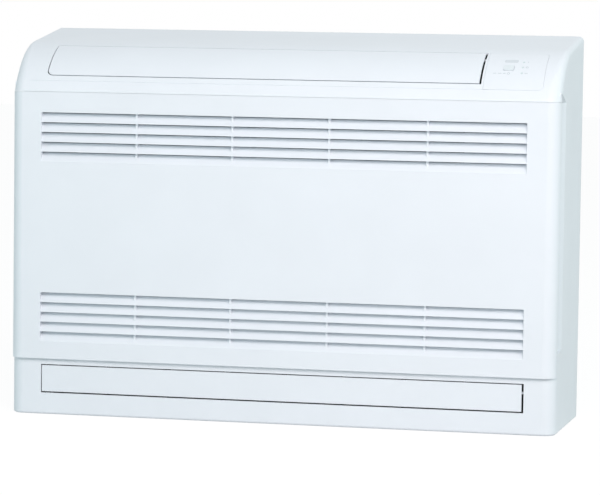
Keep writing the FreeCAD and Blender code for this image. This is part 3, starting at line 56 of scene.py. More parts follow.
# Camera of the photograph, in metres and radians
CAMERA_PLACE = Vector((1.1369, -4.8640, 0.6733))
CAMERA_YAW = 0.22838
CAMERA_PITCH = 0.08163
CAMERA_ROLL = 0.01345
FOCAL_PIXELS = 3200.0
PHOTO_WIDE = 600.0
SENSOR_WIDE = 36.0
FAR_CLIP = 50.0
UNIT_MIDDLE = (0.0, 0.0, 0.35)
PLAIN_WHITE = (1.0, 1.0, 1.0, 1.0)

# Curved top of the casing, a round arc seen from the side, and the middle of the control strip along it
TOP_ARC_Y = 0.005867
TOP_ARC_Z = 0.442361
TOP_ARC_R = 0.140360
CREASE_SLOPE = math.radians(62.0)
STRIP_MIDDLE = 0.0645

# Printed marks on the control strip
INK_WIDE = 0.0007
LAMP_INK_WIDE = 0.0010
DASH_INK_WIDE = 0.0011
INK_THICK = 0.00004
INK_LIFT = 0.00003
ON_MARK_X = 0.3460
LAMP_MARK_X = 0.3728
MARK_ROW = -0.0170
ARC_STEPS = 25

# Filter net, coil and screws
NET_PITCH = 0.0036
THREAD_R = 0.00019
FIN_PITCH = 0.0019
FIN_THICK = 0.00022
FIN_WAVE = 0.00045
FIN_WAVES = 4
COIL_TUBE_R = 0.0035
COIL_TUBES = 16
TUBE_STEP = 30.0
SCREW_SPOTS = {
    "cabinet_screws": ((-0.406, 0.107), (0.406, 0.107), (-0.406, 0.4845), (0.406, 0.4845)),
    "motor_screws": ((-0.053, 0.22835), (-0.0045, 0.31235), (-0.1015, 0.31235)),
}
SCREW_HEAD_R = 0.004
SCREW_CROWN_R = 0.003
SCREW_HEAD = 0.0024
SCREW_SHANK_R = 0.0019
SCREW_ROUND_SHARE = 0.5
SCREW_TIP_SHARE = 0.94
SCREW_STEP = 7.5
CROWN_RINGS = 13
CROSS_LONG = 0.0019
CROSS_LONG_EDGE = 0.0003
CROSS_WIDE = 0.00045
CROSS_WIDE_EDGE = 0.0002
CROSS_DEEP = 0.0013

# Points of a mesh that are closer than this become one
MERGE_WITHIN = 1e-6

# Finishes: colours, fineness of the patterns and how far they change the gloss
WHITE = (0.80, 0.83, 0.875)
BOARD_GREEN = (0.012, 0.085, 0.035)
TRACK_GREEN = (0.03, 0.17, 0.065)
TINNED = (0.66, 0.67, 0.65)
GRAINS_PER_METRE = 1500.0
FLAKES_PER_METRE = 110.0
TRACKS_PER_METRE = 90.0
GRAIN_DULLING = 0.05
STREAK_DULLING = 0.12
FLECK_SHARE = 2.2
CLOUD_SHARE = 0.84
UP_STREAKS = (900.0, 900.0, 25.0)
LEVEL_STREAKS = (25.0, 900.0, 900.0)
DEEP_STREAKS = (900.0, 25.0, 900.0)


def studio_camera():
    """Camera in front and to the right of the unit, turned left, down and a touch over."""
    data = bpy.data.cameras.new("studio_camera")
    data.sensor_fit = "HORIZONTAL"
    data.sensor_width = SENSOR_WIDE
    data.lens = SENSOR_WIDE * FOCAL_PIXELS / PHOTO_WIDE
    data.clip_end = FAR_CLIP
    level = math.cos(CAMERA_PITCH)
    ahead = Vector((-math.sin(CAMERA_YAW) * level, math.cos(CAMERA_YAW) * level, -math.sin(CAMERA_PITCH)))
    right = Vector((math.cos(CAMERA_YAW), math.sin(CAMERA_YAW), 0.0))
    up = right.cross(ahead)
    turned_right = math.cos(CAMERA_ROLL) * right + math.sin(CAMERA_ROLL) * up
    turned_up = math.cos(CAMERA_ROLL) * up - math.sin(CAMERA_ROLL) * right
    camera = bpy.data.objects.new("studio_camera", data)
    turned = Matrix((turned_right, turned_up, -ahead)).transposed().to_4x4()
    camera.matrix_world = Matrix.Translation(CAMERA_PLACE) @ turned
    bpy.context.scene.collection.objects.link(camera)
    bpy.context.scene.camera = camera


def softbox(name, place, aim, wide, high, power, tint):
    """Rectangular lamp at a place, facing an aim point."""
    data = bpy.data.lights.new(name, "AREA")
    data.shape = "RECTANGLE"
    data.size = wide
    data.size_y = high
    data.energy = power
    data.color = tint
    lamp = bpy.data.objects.new(name, data)
    lamp.location = place
    lamp.rotation_euler = (Vector(aim) - Vector(place)).to_track_quat("-Z", "Y").to_euler()
    bpy.context.scene.collection.objects.link(lamp)


def background_rays(tree):
    """One for the rays that show the background: from the camera, off a shine or through glass."""
    path = tree.nodes.new("ShaderNodeLightPath")
    seen = path.outputs["Is Camera Ray"]
    for label in ("Is Glossy Ray", "Is Transmission Ray"):
        either = tree.nodes.new("ShaderNodeMath")
        either.operation = "MAXIMUM"
        tree.links.new(seen, either.inputs[0])
        tree.links.new(path.outputs[label], either.inputs[1])
        seen = either.outputs[0]
    return seen


def studio_world(level, tint):
    """Even light from all round; the background itself is plain white."""
    world = bpy.data.worlds.new("studio_world")
    world.use_nodes = True
    tree = world.node_tree
    tree.nodes.clear()
    even = tree.nodes.new("ShaderNodeBackground")
    even.inputs["Color"].default_value = (*tint, 1.0)
    even.inputs["Strength"].default_value = level
    white = tree.nodes.new("ShaderNodeBackground")
    white.inputs["Color"].default_value = PLAIN_WHITE
    white.inputs["Strength"].default_value = 1.0
    mix = tree.nodes.new("ShaderNodeMixShader")
    out = tree.nodes.new("ShaderNodeOutputWorld")
    tree.links.new(background_rays(tree), mix.inputs[0])
    tree.links.new(even.outputs[0], mix.inputs[1])
    tree.links.new(white.outputs[0], mix.inputs[2])
    tree.links.new(mix.outputs[0], out.inputs["Surface"])
    bpy.context.scene.world = world


def paper_floor(half, shade, glow_level, glow_share):
    """Wide white floor that shows mostly its own white and a trace of the unit's shadow."""
    corners = [(-half, -half, 0.0), (half, -half, 0.0), (half, half, 0.0), (-half, half, 0.0)]
    mesh = bpy.data.meshes.new("paper_floor")
    mesh.from_pydata(corners, [], [(0, 1, 2, 3)])
    floor = bpy.data.objects.new("paper_floor", mesh)
    bpy.context.scene.collection.objects.link(floor)
    material = bpy.data.materials.new("paper_floor")
    material.use_nodes = True
    tree = material.node_tree
    tree.nodes.clear()
    part = tree.nodes.new("ShaderNodeMath")
    part.operation = "MULTIPLY"
    part.inputs[1].default_value = glow_share
    tree.links.new(background_rays(tree), part.inputs[0])
    paper = tree.nodes.new("ShaderNodeBsdfDiffuse")
    paper.inputs["Color"].default_value = (shade, shade, shade, 1.0)
    glow = tree.nodes.new("ShaderNodeEmission")
    glow.inputs["Color"].default_value = PLAIN_WHITE
    glow.inputs["Strength"].default_value = glow_level
    mix = tree.nodes.new("ShaderNodeMixShader")
    out = tree.nodes.new("ShaderNodeOutputMaterial")
    tree.links.new(part.outputs[0], mix.inputs[0])
    tree.links.new(paper.outputs[0], mix.inputs[1])
    tree.links.new(glow.outputs[0], mix.inputs[2])
    tree.links.new(mix.outputs[0], out.inputs["Surface"])
    mesh.materials.append(material)


def studio():
    """Camera, floor, even light and softboxes."""
    scene = bpy.context.scene
    scene.view_settings.view_transform = "Standard"
    studio_camera()
    studio_world(level=0.54, tint=(0.835, 0.965, 1.0))
    paper_floor(half=12.0, shade=0.71, glow_level=1.085, glow_share=0.85)
    softbox(
        "key_light", place=(1.45, -3.05, 2.30), aim=UNIT_MIDDLE,
        wide=2.4, high=1.8, power=97.5, tint=(1.0, 0.93, 0.92),
    )
    softbox(
        "side_fill", place=(3.2, 0.6, 1.2), aim=UNIT_MIDDLE,
        wide=1.6, high=1.6, power=6.5, tint=(0.35, 1.0, 0.85),
    )
    softbox(
        "left_fill", place=(-1.7, -1.2, 0.2), aim=(-0.3, -0.1, 0.2),
        wide=0.4, high=0.4, power=1.8, tint=(0.35, 1.0, 0.95),
    )


def group(name, inputs, outputs):
    """Empty shader node group with named sockets, and its input and output nodes."""
    tree = bpy.data.node_groups.new(name, "ShaderNodeTree")
    for label, kind, value in inputs:
        socket = tree.interface.new_socket(label, in_out="INPUT", socket_type=kind)
        socket.default_value = value
    for label, kind in outputs:
        tree.interface.new_socket(label, in_out="OUTPUT", socket_type=kind)
    return tree, tree.nodes.new("NodeGroupInput"), tree.nodes.new("NodeGroupOutput")


def moulded_grain():
    """Spark-eroded grain: even small noise as a height, wide soft noise as a cloud, dots as flecks."""
    tree, given, out = group(
        "moulded_grain",
        [("Grains per metre", "NodeSocketFloat", GRAINS_PER_METRE)],
        [("Height", "NodeSocketFloat"), ("Cloud", "NodeSocketFloat"), ("Fleck", "NodeSocketFloat")],
    )
    place = tree.nodes.new("ShaderNodeTexCoord")
    fine = tree.nodes.new("ShaderNodeTexNoise")
    fine.inputs["Detail"].default_value = 2.0
    wide = tree.nodes.new("ShaderNodeTexNoise")
    wide.inputs["Scale"].default_value = 9.0
    wide.inputs["Detail"].default_value = 3.0
    dots = tree.nodes.new("ShaderNodeTexVoronoi")
    near = tree.nodes.new("ShaderNodeMapRange")
    near.inputs["From Min"].default_value = 0.22
    near.inputs["From Max"].default_value = 0.10
    for texture in (fine, wide, dots):
        tree.links.new(place.outputs["Object"], texture.inputs["Vector"])
    tree.links.new(given.outputs["Grains per metre"], fine.inputs["Scale"])
    tree.links.new(given.outputs["Grains per metre"], dots.inputs["Scale"])
    tree.links.new(dots.outputs["Distance"], near.inputs["Value"])
    tree.links.new(fine.outputs["Fac"], out.inputs["Height"])
    tree.links.new(wide.outputs["Fac"], out.inputs["Cloud"])
    tree.links.new(near.outputs["Result"], out.inputs["Fleck"])
    return tree


def drawn_streaks():
    """Rolling or drawing marks: noise squeezed across one direction, so that it runs long along it."""
    tree, given, out = group(
        "drawn_streaks",
        [("Squeeze", "NodeSocketVector", (1.0, 1.0, 1.0))],
        [("Streak", "NodeSocketFloat"), ("Cloud", "NodeSocketFloat")],
    )
    place = tree.nodes.new("ShaderNodeTexCoord")
    squeeze = tree.nodes.new("ShaderNodeVectorMath")
    squeeze.operation = "MULTIPLY"
    streak = tree.nodes.new("ShaderNodeTexNoise")
    streak.inputs["Scale"].default_value = 1.0
    streak.inputs["Detail"].default_value = 4.0
    cloud = tree.nodes.new("ShaderNodeTexNoise")
    cloud.inputs["Scale"].default_value = 26.0
    cloud.inputs["Detail"].default_value = 4.0
    tree.links.new(place.outputs["Object"], squeeze.inputs[0])
    tree.links.new(given.outputs["Squeeze"], squeeze.inputs[1])
    tree.links.new(squeeze.outputs["Vector"], streak.inputs["Vector"])
    tree.links.new(place.outputs["Object"], cloud.inputs["Vector"])
    tree.links.new(streak.outputs["Fac"], out.inputs["Streak"])
    tree.links.new(cloud.outputs["Fac"], out.inputs["Cloud"])
    return tree


def zinc_flakes():
    """Spangle of dipped zinc: random cells, each with its own shade, and a dull line round each."""
    tree, given, out = group(
        "zinc_flakes",
        [("Flakes per metre", "NodeSocketFloat", FLAKES_PER_METRE)],
        [("Shade", "NodeSocketFloat"), ("Rim", "NodeSocketFloat")],
    )
    place = tree.nodes.new("ShaderNodeTexCoord")
    cells = tree.nodes.new("ShaderNodeTexVoronoi")
    rims = tree.nodes.new("ShaderNodeTexVoronoi")
    rims.feature = "DISTANCE_TO_EDGE"
    shade = tree.nodes.new("ShaderNodeRGBToBW")
    near = tree.nodes.new("ShaderNodeMapRange")
    near.inputs["From Min"].default_value = 0.06
    near.inputs["From Max"].default_value = 0.0
    for texture in (cells, rims):
        tree.links.new(place.outputs["Object"], texture.inputs["Vector"])
        tree.links.new(given.outputs["Flakes per metre"], texture.inputs["Scale"])
    tree.links.new(cells.outputs["Color"], shade.inputs["Color"])
    tree.links.new(rims.outputs["Distance"], near.inputs["Value"])
    tree.links.new(shade.outputs["Val"], out.inputs["Shade"])
    tree.links.new(near.outputs["Result"], out.inputs["Rim"])
    return tree


def board_tracks():
    """Printed board: bands of track that wander with noise, and round pads at random spots."""
    tree, given, out = group(
        "board_tracks",
        [("Tracks per metre", "NodeSocketFloat", TRACKS_PER_METRE)],
        [("Track", "NodeSocketFloat"), ("Pad", "NodeSocketFloat")],
    )
    place = tree.nodes.new("ShaderNodeTexCoord")
    bands = tree.nodes.new("ShaderNodeTexWave")
    bands.bands_direction = "DIAGONAL"
    bands.inputs["Distortion"].default_value = 9.0
    bands.inputs["Detail"].default_value = 0.0
    pads = tree.nodes.new("ShaderNodeTexVoronoi")
    track = tree.nodes.new("ShaderNodeMapRange")
    track.inputs["From Min"].default_value = 0.45
    track.inputs["From Max"].default_value = 0.55
    pad = tree.nodes.new("ShaderNodeMapRange")
    pad.inputs["From Min"].default_value = 0.26
    pad.inputs["From Max"].default_value = 0.20
    for texture in (bands, pads):
        tree.links.new(place.outputs["Object"], texture.inputs["Vector"])
        tree.links.new(given.outputs["Tracks per metre"], texture.inputs["Scale"])
    tree.links.new(bands.outputs["Fac"], track.inputs["Value"])
    tree.links.new(pads.outputs["Distance"], pad.inputs["Value"])
    tree.links.new(track.outputs["Result"], out.inputs["Track"])
    tree.links.new(pad.outputs["Result"], out.inputs["Pad"])
    return tree


GRAIN = moulded_grain()
STREAKS = drawn_streaks()
FLAKES = zinc_flakes()
TRACKS = board_tracks()


def blank(name):
    """New material with a Principled shader, and its tree and shader."""
    material = bpy.data.materials.new(name)
    material.use_nodes = True
    tree = material.node_tree
    return material, tree, tree.nodes["Principled BSDF"]


def place_group(tree, effect, label, value):
    """Effect group in a material, with one input set."""
    node = tree.nodes.new("ShaderNodeGroup")
    node.node_tree = effect
    node.inputs[label].default_value = value
    return node


def shade_between(tree, factor, low, high):
    """Colour that runs from low to high with a factor."""
    mix = tree.nodes.new("ShaderNodeMix")
    mix.data_type = "RGBA"
    mix.inputs["A"].default_value = (*low, 1.0)
    mix.inputs["B"].default_value = (*high, 1.0)
    tree.links.new(factor, mix.inputs["Factor"])
    return mix.outputs["Result"]


def shade_over(tree, factor, under, colour):
    """Colour laid over another by a mask."""
    mix = tree.nodes.new("ShaderNodeMix")
    mix.data_type = "RGBA"
    tree.links.new(under, mix.inputs["A"])
    mix.inputs["B"].default_value = (*colour, 1.0)
    tree.links.new(factor, mix.inputs["Factor"])
    return mix.outputs["Result"]


def range_between(tree, value, low, high):
    """Value carried from 0..1 onto low..high."""
    node = tree.nodes.new("ShaderNodeMapRange")
    node.inputs["To Min"].default_value = low
    node.inputs["To Max"].default_value = high
    tree.links.new(value, node.inputs["Value"])
    return node.outputs["Result"]


def bump(tree, shader, height, strength, distance):
    """Relief from a height, into the shader's normal."""
    node = tree.nodes.new("ShaderNodeBump")
    node.inputs["Strength"].default_value = strength
    node.inputs["Distance"].default_value = distance
    tree.links.new(height, node.inputs["Height"])
    tree.links.new(node.outputs["Normal"], shader.inputs["Normal"])


def scaled(colour, share):
    """Colour made lighter or darker by a share, held below white."""
    return tuple(min(1.0, c * share) for c in colour)


def moulded(name, colour, rough, grains=GRAINS_PER_METRE, relief=0.00002, drift=0.03, fleck=0.0):
    """Moulded plastic: a colour that drifts a little over the piece, a fine grain and a satin sheen."""
    material, tree, shader = blank(name)
    grain = place_group(tree, GRAIN, "Grains per metre", grains)
    dark, light = scaled(colour, 1.0 - drift), scaled(colour, 1.0 + drift)
    shade = shade_between(tree, grain.outputs["Cloud"], dark, light)
    if fleck:
        mask = range_between(tree, grain.outputs["Fleck"], 0.0, fleck)
        shade = shade_over(tree, mask, shade, scaled(colour, FLECK_SHARE))
    dull = range_between(tree, grain.outputs["Height"], rough - GRAIN_DULLING, rough + GRAIN_DULLING)
    tree.links.new(shade, shader.inputs["Base Color"])
    tree.links.new(dull, shader.inputs["Roughness"])
    bump(tree, shader, grain.outputs["Height"], strength=0.35, distance=relief)
    return material


def metal(name, colour, rough, squeeze, metallic=1.0):
    """Bare or plated metal: drawn streaks in its roughness and relief, and a colour that clouds a little."""
    material, tree, shader = blank(name)
    streaks = place_group(tree, STREAKS, "Squeeze", squeeze)
    shade = shade_between(tree, streaks.outputs["Cloud"], scaled(colour, CLOUD_SHARE), colour)
    dull = range_between(tree, streaks.outputs["Streak"], rough - STREAK_DULLING, rough + STREAK_DULLING)
    tree.links.new(shade, shader.inputs["Base Color"])
    tree.links.new(dull, shader.inputs["Roughness"])
    shader.inputs["Metallic"].default_value = metallic
    bump(tree, shader, streaks.outputs["Streak"], strength=0.25, distance=0.00003)
    return material


def dipped_zinc(name, colour, rough):
    """Zinc-dipped sheet: flakes of differing shade and gloss with dull rims."""
    material, tree, shader = blank(name)
    flakes = place_group(tree, FLAKES, "Flakes per metre", FLAKES_PER_METRE)
    dark, light = scaled(colour, 0.82), scaled(colour, 1.08)
    shade = shade_between(tree, flakes.outputs["Shade"], dark, light)
    rims = range_between(tree, flakes.outputs["Rim"], 0.0, 0.35)
    shade = shade_over(tree, rims, shade, scaled(colour, 0.7))
    dull = range_between(tree, flakes.outputs["Shade"], rough - 0.1, rough + 0.12)
    tree.links.new(shade, shader.inputs["Base Color"])
    tree.links.new(dull, shader.inputs["Roughness"])
    shader.inputs["Metallic"].default_value = 0.9
    bump(tree, shader, flakes.outputs["Rim"], strength=0.2, distance=0.00004)
    return material


def printed_board(name):
    """Green board: raised tracks in a lighter green and bright tinned pads."""
    material, tree, shader = blank(name)
    tracks = place_group(tree, TRACKS, "Tracks per metre", TRACKS_PER_METRE)
    shade = shade_between(tree, tracks.outputs["Track"], BOARD_GREEN, TRACK_GREEN)
    shade = shade_over(tree, tracks.outputs["Pad"], shade, TINNED)
    dull = range_between(tree, tracks.outputs["Track"], 0.42, 0.32)
    tree.links.new(shade, shader.inputs["Base Color"])
    tree.links.new(tracks.outputs["Pad"], shader.inputs["Metallic"])
    tree.links.new(dull, shader.inputs["Roughness"])
    bump(tree, shader, tracks.outputs["Track"], strength=0.4, distance=0.00005)
    return material


FINISHES = {
    "casing_white": moulded("casing_white", WHITE, 0.42),
    "display_gloss": moulded("display_gloss", WHITE, 0.30, grains=900.0),
    "indicator_lens": moulded("indicator_lens", (0.67, 0.76, 0.77), 0.22, grains=900.0),
    "window_pale": moulded("window_pale", (0.66, 0.70, 0.74), 0.22, grains=900.0),
    "button_white": moulded("button_white", (0.74, 0.79, 0.82), 0.38),
    "outlet_dark": moulded(
        "outlet_dark", (0.045, 0.05, 0.055), 0.55, grains=1100.0, relief=0.00005, drift=0.12
    ),
    "vane_dark": moulded(
        "vane_dark", (0.06, 0.065, 0.07), 0.5, grains=1100.0, relief=0.00004, drift=0.1
    ),
    "filter_frame": moulded("filter_frame", (0.50, 0.53, 0.56), 0.5, grains=1100.0, drift=0.07),
    "filter_mesh": moulded("filter_mesh", (0.47, 0.50, 0.53), 0.6, grains=3000.0, drift=0.12),
    "fin_aluminium": metal("fin_aluminium", (0.74, 0.77, 0.80), 0.38, UP_STREAKS),
    "zinc_sheet": dipped_zinc("zinc_sheet", (0.60, 0.62, 0.63), 0.42),
    "copper_tube": metal("copper_tube", (0.74, 0.38, 0.24), 0.32, LEVEL_STREAKS),
    "union_brass": metal("union_brass", (0.76, 0.57, 0.27), 0.3, DEEP_STREAKS),
    "pan_light": moulded("pan_light", (0.55, 0.57, 0.58), 0.5, relief=0.00004, drift=0.05),
    "chassis_grey": moulded(
        "chassis_grey", (0.52, 0.54, 0.56), 0.5, grains=1100.0, relief=0.00004, drift=0.05
    ),
    "fan_grey": moulded(
        "fan_grey", (0.10, 0.11, 0.12), 0.5, grains=700.0, relief=0.00003, drift=0.1, fleck=0.5
    ),
    "shaft_steel": metal("shaft_steel", (0.62, 0.63, 0.64), 0.3, DEEP_STREAKS),
    "motor_shell": metal("motor_shell", (0.30, 0.32, 0.34), 0.42, DEEP_STREAKS, metallic=0.7),
    "box_plastic": moulded("box_plastic", (0.62, 0.62, 0.58), 0.5, relief=0.00004, drift=0.05),
    "board_green": printed_board("board_green"),
    "stepper_steel": dipped_zinc("stepper_steel", (0.58, 0.59, 0.60), 0.36),
}
PRINT_GREY = moulded("print_grey", (0.52, 0.56, 0.60), 0.45, grains=3000.0, drift=0.08)


def grid_faces(rows, columns, rows_closed=False, columns_closed=False):
    """Four-sided faces between neighbours on a grid of points, joined round where it is closed."""
    row, column = np.meshgrid(
        np.arange(rows if rows_closed else rows - 1),
        np.arange(columns if columns_closed else columns - 1),
        indexing="ij",
    )
    next_row = (row + 1) % rows
    next_column = (column + 1) % columns
    corners = [row * columns + column, next_row * columns + column]
    corners += [next_row * columns + next_column, row * columns + next_column]
    return np.stack(corners, -1).reshape(-1, 4)


def repeated(faces, points_each, count):
    """Faces of one shape counted on for each of its repeats."""
    steps = np.arange(count) * points_each
    return (faces[None] + steps[:, None, None]).reshape(-1, 4)


def new_piece(name, points, faces, finish, smooth):
    """Mesh object at the origin from points and faces, with doubles merged and faces turned outwards."""
    mesh = bpy.data.meshes.new(name)
    mesh.from_pydata(points.reshape(-1, 3).tolist(), [], faces.tolist())
    shape = bmesh.new()
    shape.from_mesh(mesh)
    bmesh.ops.remove_doubles(shape, verts=shape.verts, dist=MERGE_WITHIN)
    bmesh.ops.recalc_face_normals(shape, faces=shape.faces)
    shape.to_mesh(mesh)
    shape.free()
    mesh.polygons.foreach_set("use_smooth", np.full(len(mesh.polygons), smooth))
    mesh.materials.append(finish)
    piece = bpy.data.objects.new(name, mesh)
    bpy.context.scene.collection.objects.link(piece)
    return piece


def on_top(x, along, lift):
    """Point on the curved top: the arc's centre plus its radius and lift along the slope's own normal.

    The slope falls from the crease's by one radian for each radius of length along the arc.
    """
    slope = CREASE_SLOPE - along / TOP_ARC_R
    reach = TOP_ARC_R + lift
    y = TOP_ARC_Y - reach * np.sin(slope)
    z = TOP_ARC_Z + reach * np.cos(slope)
    return np.stack(np.broadcast_arrays(x, y, z), -1)


def ink_stroke(path, wide):
    """Printed line on the control strip: a flat oblong profile along a path, drawn in at both ends.

    Each corner of the profile is the path plus half the width along its side direction, low or high.
    """
    heading = np.gradient(path, axis=0)
    heading /= np.linalg.norm(heading, axis=1)[:, None]
    aside = np.stack([-heading[:, 1], heading[:, 0]], -1)
    half = np.full(len(path), wide / 2)
    half[[0, -1]] = 0.0
    reach = np.array([-1.0, 1.0, 1.0, -1.0])[None, :, None] * (half[:, None] * aside)[:, None, :]
    flat = path[:, None, :] + reach
    lift = INK_LIFT + INK_THICK * np.array([0.0, 0.0, 1.0, 1.0])[None, :]
    lift = np.broadcast_to(lift, flat.shape[:2])
    return on_top(flat[..., 0], flat[..., 1], lift), grid_faces(len(path), 4, columns_closed=True)


def dash_path(x, back, long):
    """Straight path across the strip, with a close second point at each end."""
    across = x + long * np.array([-0.5, -0.46, 0.46, 0.5])
    return np.stack([across, np.full(4, STRIP_MIDDLE + back)], -1)


def arc_path(x, back, radius, start, end):
    """Round path on the strip: the centre plus the radius turned from one angle to another."""
    turn = np.radians(np.linspace(start, end, ARC_STEPS))
    return np.stack([x + radius * np.cos(turn), STRIP_MIDDLE + back + radius * np.sin(turn)], -1)


def tick_path(x, back, long):
    """Short path up the strip."""
    along = STRIP_MIDDLE + back + long * np.array([-0.5, -0.4, 0.4, 0.5])
    return np.stack([np.full(4, x), along], -1)


def printed_marks():
    """Plain marks round the button and the lamps: an on-off ring, a row of dashes and small signs."""
    strokes = [
        ("mark_on_ring", arc_path(ON_MARK_X, MARK_ROW, 0.0019, 125.0, 415.0), INK_WIDE),
        ("mark_on_tick", tick_path(ON_MARK_X, -0.0153, 0.0020), INK_WIDE),
        ("mark_dash_1", dash_path(0.3250, MARK_ROW, 0.0055), DASH_INK_WIDE),
        ("mark_dash_2", dash_path(0.3325, MARK_ROW, 0.0060), DASH_INK_WIDE),
        ("mark_dash_3", dash_path(0.3395, MARK_ROW, 0.0045), DASH_INK_WIDE),
        ("mark_lamp_1", dash_path(LAMP_MARK_X, -0.0160, 0.0050), LAMP_INK_WIDE),
        ("mark_lamp_2", arc_path(LAMP_MARK_X, -0.0025, 0.0017, 0.0, 360.0), INK_WIDE),
        ("mark_lamp_3", tick_path(LAMP_MARK_X, 0.0110, 0.0036), INK_WIDE),
    ]
    for name, path, wide in strokes:
        points, faces = ink_stroke(path, wide)
        piece = new_piece(name, points, faces, PRINT_GREY, False)
        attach(piece, "housing")


def spaced(low, high, pitch):
    """Places a pitch apart, as many as fit, from half a pitch inside one end to half inside the other."""
    return np.linspace(low + pitch / 2, high - pitch / 2, int((high - low) / pitch))


def threads(fixed, along, mid_y, radius):
    """Woven threads: square tubes whose centre steps in front and behind at each crossing in turn.

    The offset's sign is that of the thread's number plus the crossing's; the ends close to a point.
    """
    number, crossing = np.meshgrid(np.arange(len(fixed)), np.arange(len(along)), indexing="ij")
    weave = radius * np.where((number + crossing) % 2, 1.0, -1.0)
    thick = np.full(len(along), radius)
    thick[[0, -1]] = 0.0
    turn = np.radians([45.0, 135.0, 225.0, 315.0])
    side = fixed[:, None, None] + thick[None, :, None] * np.cos(turn)
    deep = mid_y + weave[..., None] + thick[None, :, None] * np.sin(turn)
    run = np.broadcast_to(along[None, :, None], side.shape)
    tube = grid_faces(len(along), len(turn), columns_closed=True)
    return side, deep, run, repeated(tube, len(along) * len(turn), len(fixed))


def filter_net(name, node):
    """Net of one filter: upright and level threads woven over and under each other."""
    low, high = (np.array(corner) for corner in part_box(node))
    columns = spaced(low[0], high[0], NET_PITCH)
    rows = spaced(low[2], high[2], NET_PITCH)
    mid_y = (low[1] + high[1]) / 2
    rows_run = np.concatenate([[low[2]], rows, [high[2]]])
    columns_run = np.concatenate([[low[0]], columns, [high[0]]])
    side, deep, run, upright = threads(columns, rows_run, mid_y, THREAD_R)
    points = np.stack([side, deep, run], -1).reshape(-1, 3)
    side, deep, run, level = threads(rows, columns_run, mid_y, -THREAD_R)
    points = np.concatenate([points, np.stack([run, deep, side], -1).reshape(-1, 3)])
    faces = np.concatenate([upright, level + upright.max() + 1])
    piece = new_piece(name, points, faces, FINISHES["filter_mesh"], False)
    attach(piece, "housing")
    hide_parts(node)


def coil_fins(low, high):
    """Fins of the coil, each a thin upright sheet whose outline zigzags from front to back.

    The outline goes back along one face and forward along the other, half a thickness off the zigzag.
    """
    centre = spaced(low[0], high[0], FIN_PITCH)
    stations = 2 * FIN_WAVES + 1
    deep = np.linspace(low[1], high[1], stations)
    wave = FIN_WAVE * np.where(np.arange(stations) % 2, 1.0, -1.0)
    loop_y = np.concatenate([deep, deep[::-1]])
    loop_x = np.concatenate([wave - FIN_THICK / 2, (wave + FIN_THICK / 2)[::-1]])
    height = np.array([low[2], high[2]])
    x, y, z = np.broadcast_arrays(
        centre[:, None, None] + loop_x[None, None, :], loop_y[None, None, :], height[None, :, None]
    )
    sheet = grid_faces(2, 2 * stations, columns_closed=True)
    step = np.arange(stations - 1)
    bottom = np.stack([step, step + 1, 2 * stations - 2 - step, 2 * stations - 1 - step], -1)
    sheet = np.concatenate([sheet, bottom, bottom + 2 * stations])
    faces = repeated(sheet, 4 * stations, len(centre))
    fins = new_piece("coil_fin_sheets", np.stack([x, y, z], -1), faces, FINISHES["fin_aluminium"], False)
    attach(fins, "housing")
    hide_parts("coil_fins")


def coil_tubes(low, high):
    """Level tubes through the fins, evenly up the height of the bends, each a round tube with flat ends."""
    bend_low, bend_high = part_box("coil_bends_left")
    rise = np.linspace(bend_low[2] + COIL_TUBE_R, bend_high[2] - COIL_TUBE_R, COIL_TUBES)
    turn = np.radians(np.arange(0.0, 360.0, TUBE_STEP))
    across = np.array([low[0], low[0], high[0], high[0]])
    reach = np.array([0.0, COIL_TUBE_R, COIL_TUBE_R, 0.0])
    middle = (low[1] + high[1]) / 2
    x, y, z = np.broadcast_arrays(
        across[None, :, None],
        middle + reach[None, :, None] * np.cos(turn),
        rise[:, None, None] + reach[None, :, None] * np.sin(turn),
    )
    tube = grid_faces(len(across), len(turn), columns_closed=True)
    faces = repeated(tube, len(across) * len(turn), COIL_TUBES)
    tubes = new_piece("coil_tubes", np.stack([x, y, z], -1), faces, FINISHES["copper_tube"], True)
    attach(tubes, "housing")


def cross_arm(along, across):
    """One where a point lies in an arm of the cross recess, falling to nothing over the arm's edges."""
    inside = np.clip((CROSS_LONG - np.abs(along)) / CROSS_LONG_EDGE, 0.0, 1.0)
    return inside * np.clip((CROSS_WIDE - np.abs(across)) / CROSS_WIDE_EDGE, 0.0, 1.0)


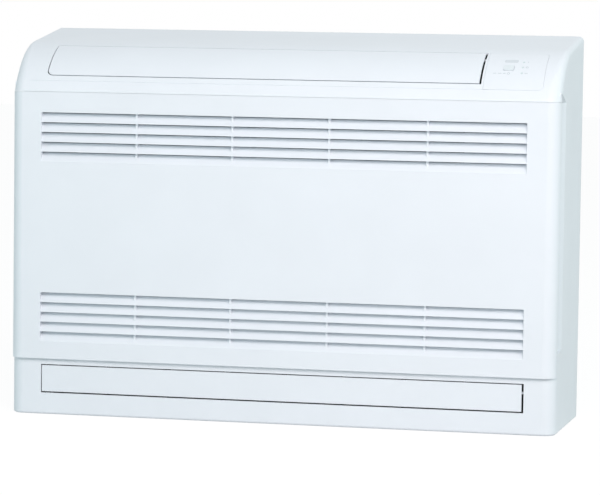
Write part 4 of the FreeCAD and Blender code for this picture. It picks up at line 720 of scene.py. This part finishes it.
def screws(name, node, spots):
    """Pan-head screws with a cross recess: rings from the crown's middle over the head and down the shank.

    Each ring has a radius and a depth; inside the crown the depth sinks where a point lies in either arm.
    """
    low, high = (np.array(corner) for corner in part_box(node))
    crown = np.linspace(0.0, SCREW_CROWN_R, CROWN_RINGS)
    bow = np.radians([30.0, 60.0, 90.0])
    rim = SCREW_CROWN_R + (SCREW_HEAD_R - SCREW_CROWN_R) * np.sin(bow)
    radius = np.concatenate([crown, rim, [SCREW_HEAD_R, SCREW_SHANK_R, SCREW_SHANK_R, 0.0]])
    fall = SCREW_HEAD * (1.0 - np.cos(bow)) * SCREW_ROUND_SHARE
    long = high[1] - low[1]
    under = [SCREW_HEAD, SCREW_HEAD, SCREW_TIP_SHARE * long, long]
    depth = np.concatenate([np.zeros(CROWN_RINGS), fall, under])
    turn = np.radians(np.arange(0.0, 360.0, SCREW_STEP))
    side = radius[:, None] * np.cos(turn)
    rise = radius[:, None] * np.sin(turn)
    recess = np.maximum(cross_arm(side, rise), cross_arm(rise, side))
    sink = CROSS_DEEP * recess * (radius <= SCREW_CROWN_R)[:, None]
    sink[-2:] = 0.0
    spot = np.array(spots)
    x = spot[:, 0, None, None] + side
    z = spot[:, 1, None, None] + rise
    y = np.broadcast_to(low[1] + depth[:, None] + sink, x.shape)
    faces = repeated(grid_faces(len(radius), len(turn), columns_closed=True), side.size, len(spot))
    piece = new_piece(name, np.stack([x, y, z], -1), faces, FINISHES["shaft_steel"], True)
    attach(piece, "housing")
    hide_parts(node)


def dress_nodes():
    """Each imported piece's finish, in its material slots."""
    for part in frame["record"]["subparts"]:
        piece = NODES[part["node"]]
        finish = FINISHES[part["material_slot"]]
        if not piece.material_slots:
            piece.data.materials.append(finish)
        for slot in piece.material_slots:
            slot.material = finish


studio()
dress_nodes()
printed_marks()
filter_net("filter_net_left", "filter_mesh_left")
filter_net("filter_net_right", "filter_mesh_right")
coil_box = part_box("coil_fins")
coil_fins(*coil_box)
coil_tubes(*coil_box)
for screw_node, screw_spots in SCREW_SPOTS.items():
    screws(screw_node + "_crossed", screw_node, screw_spots)
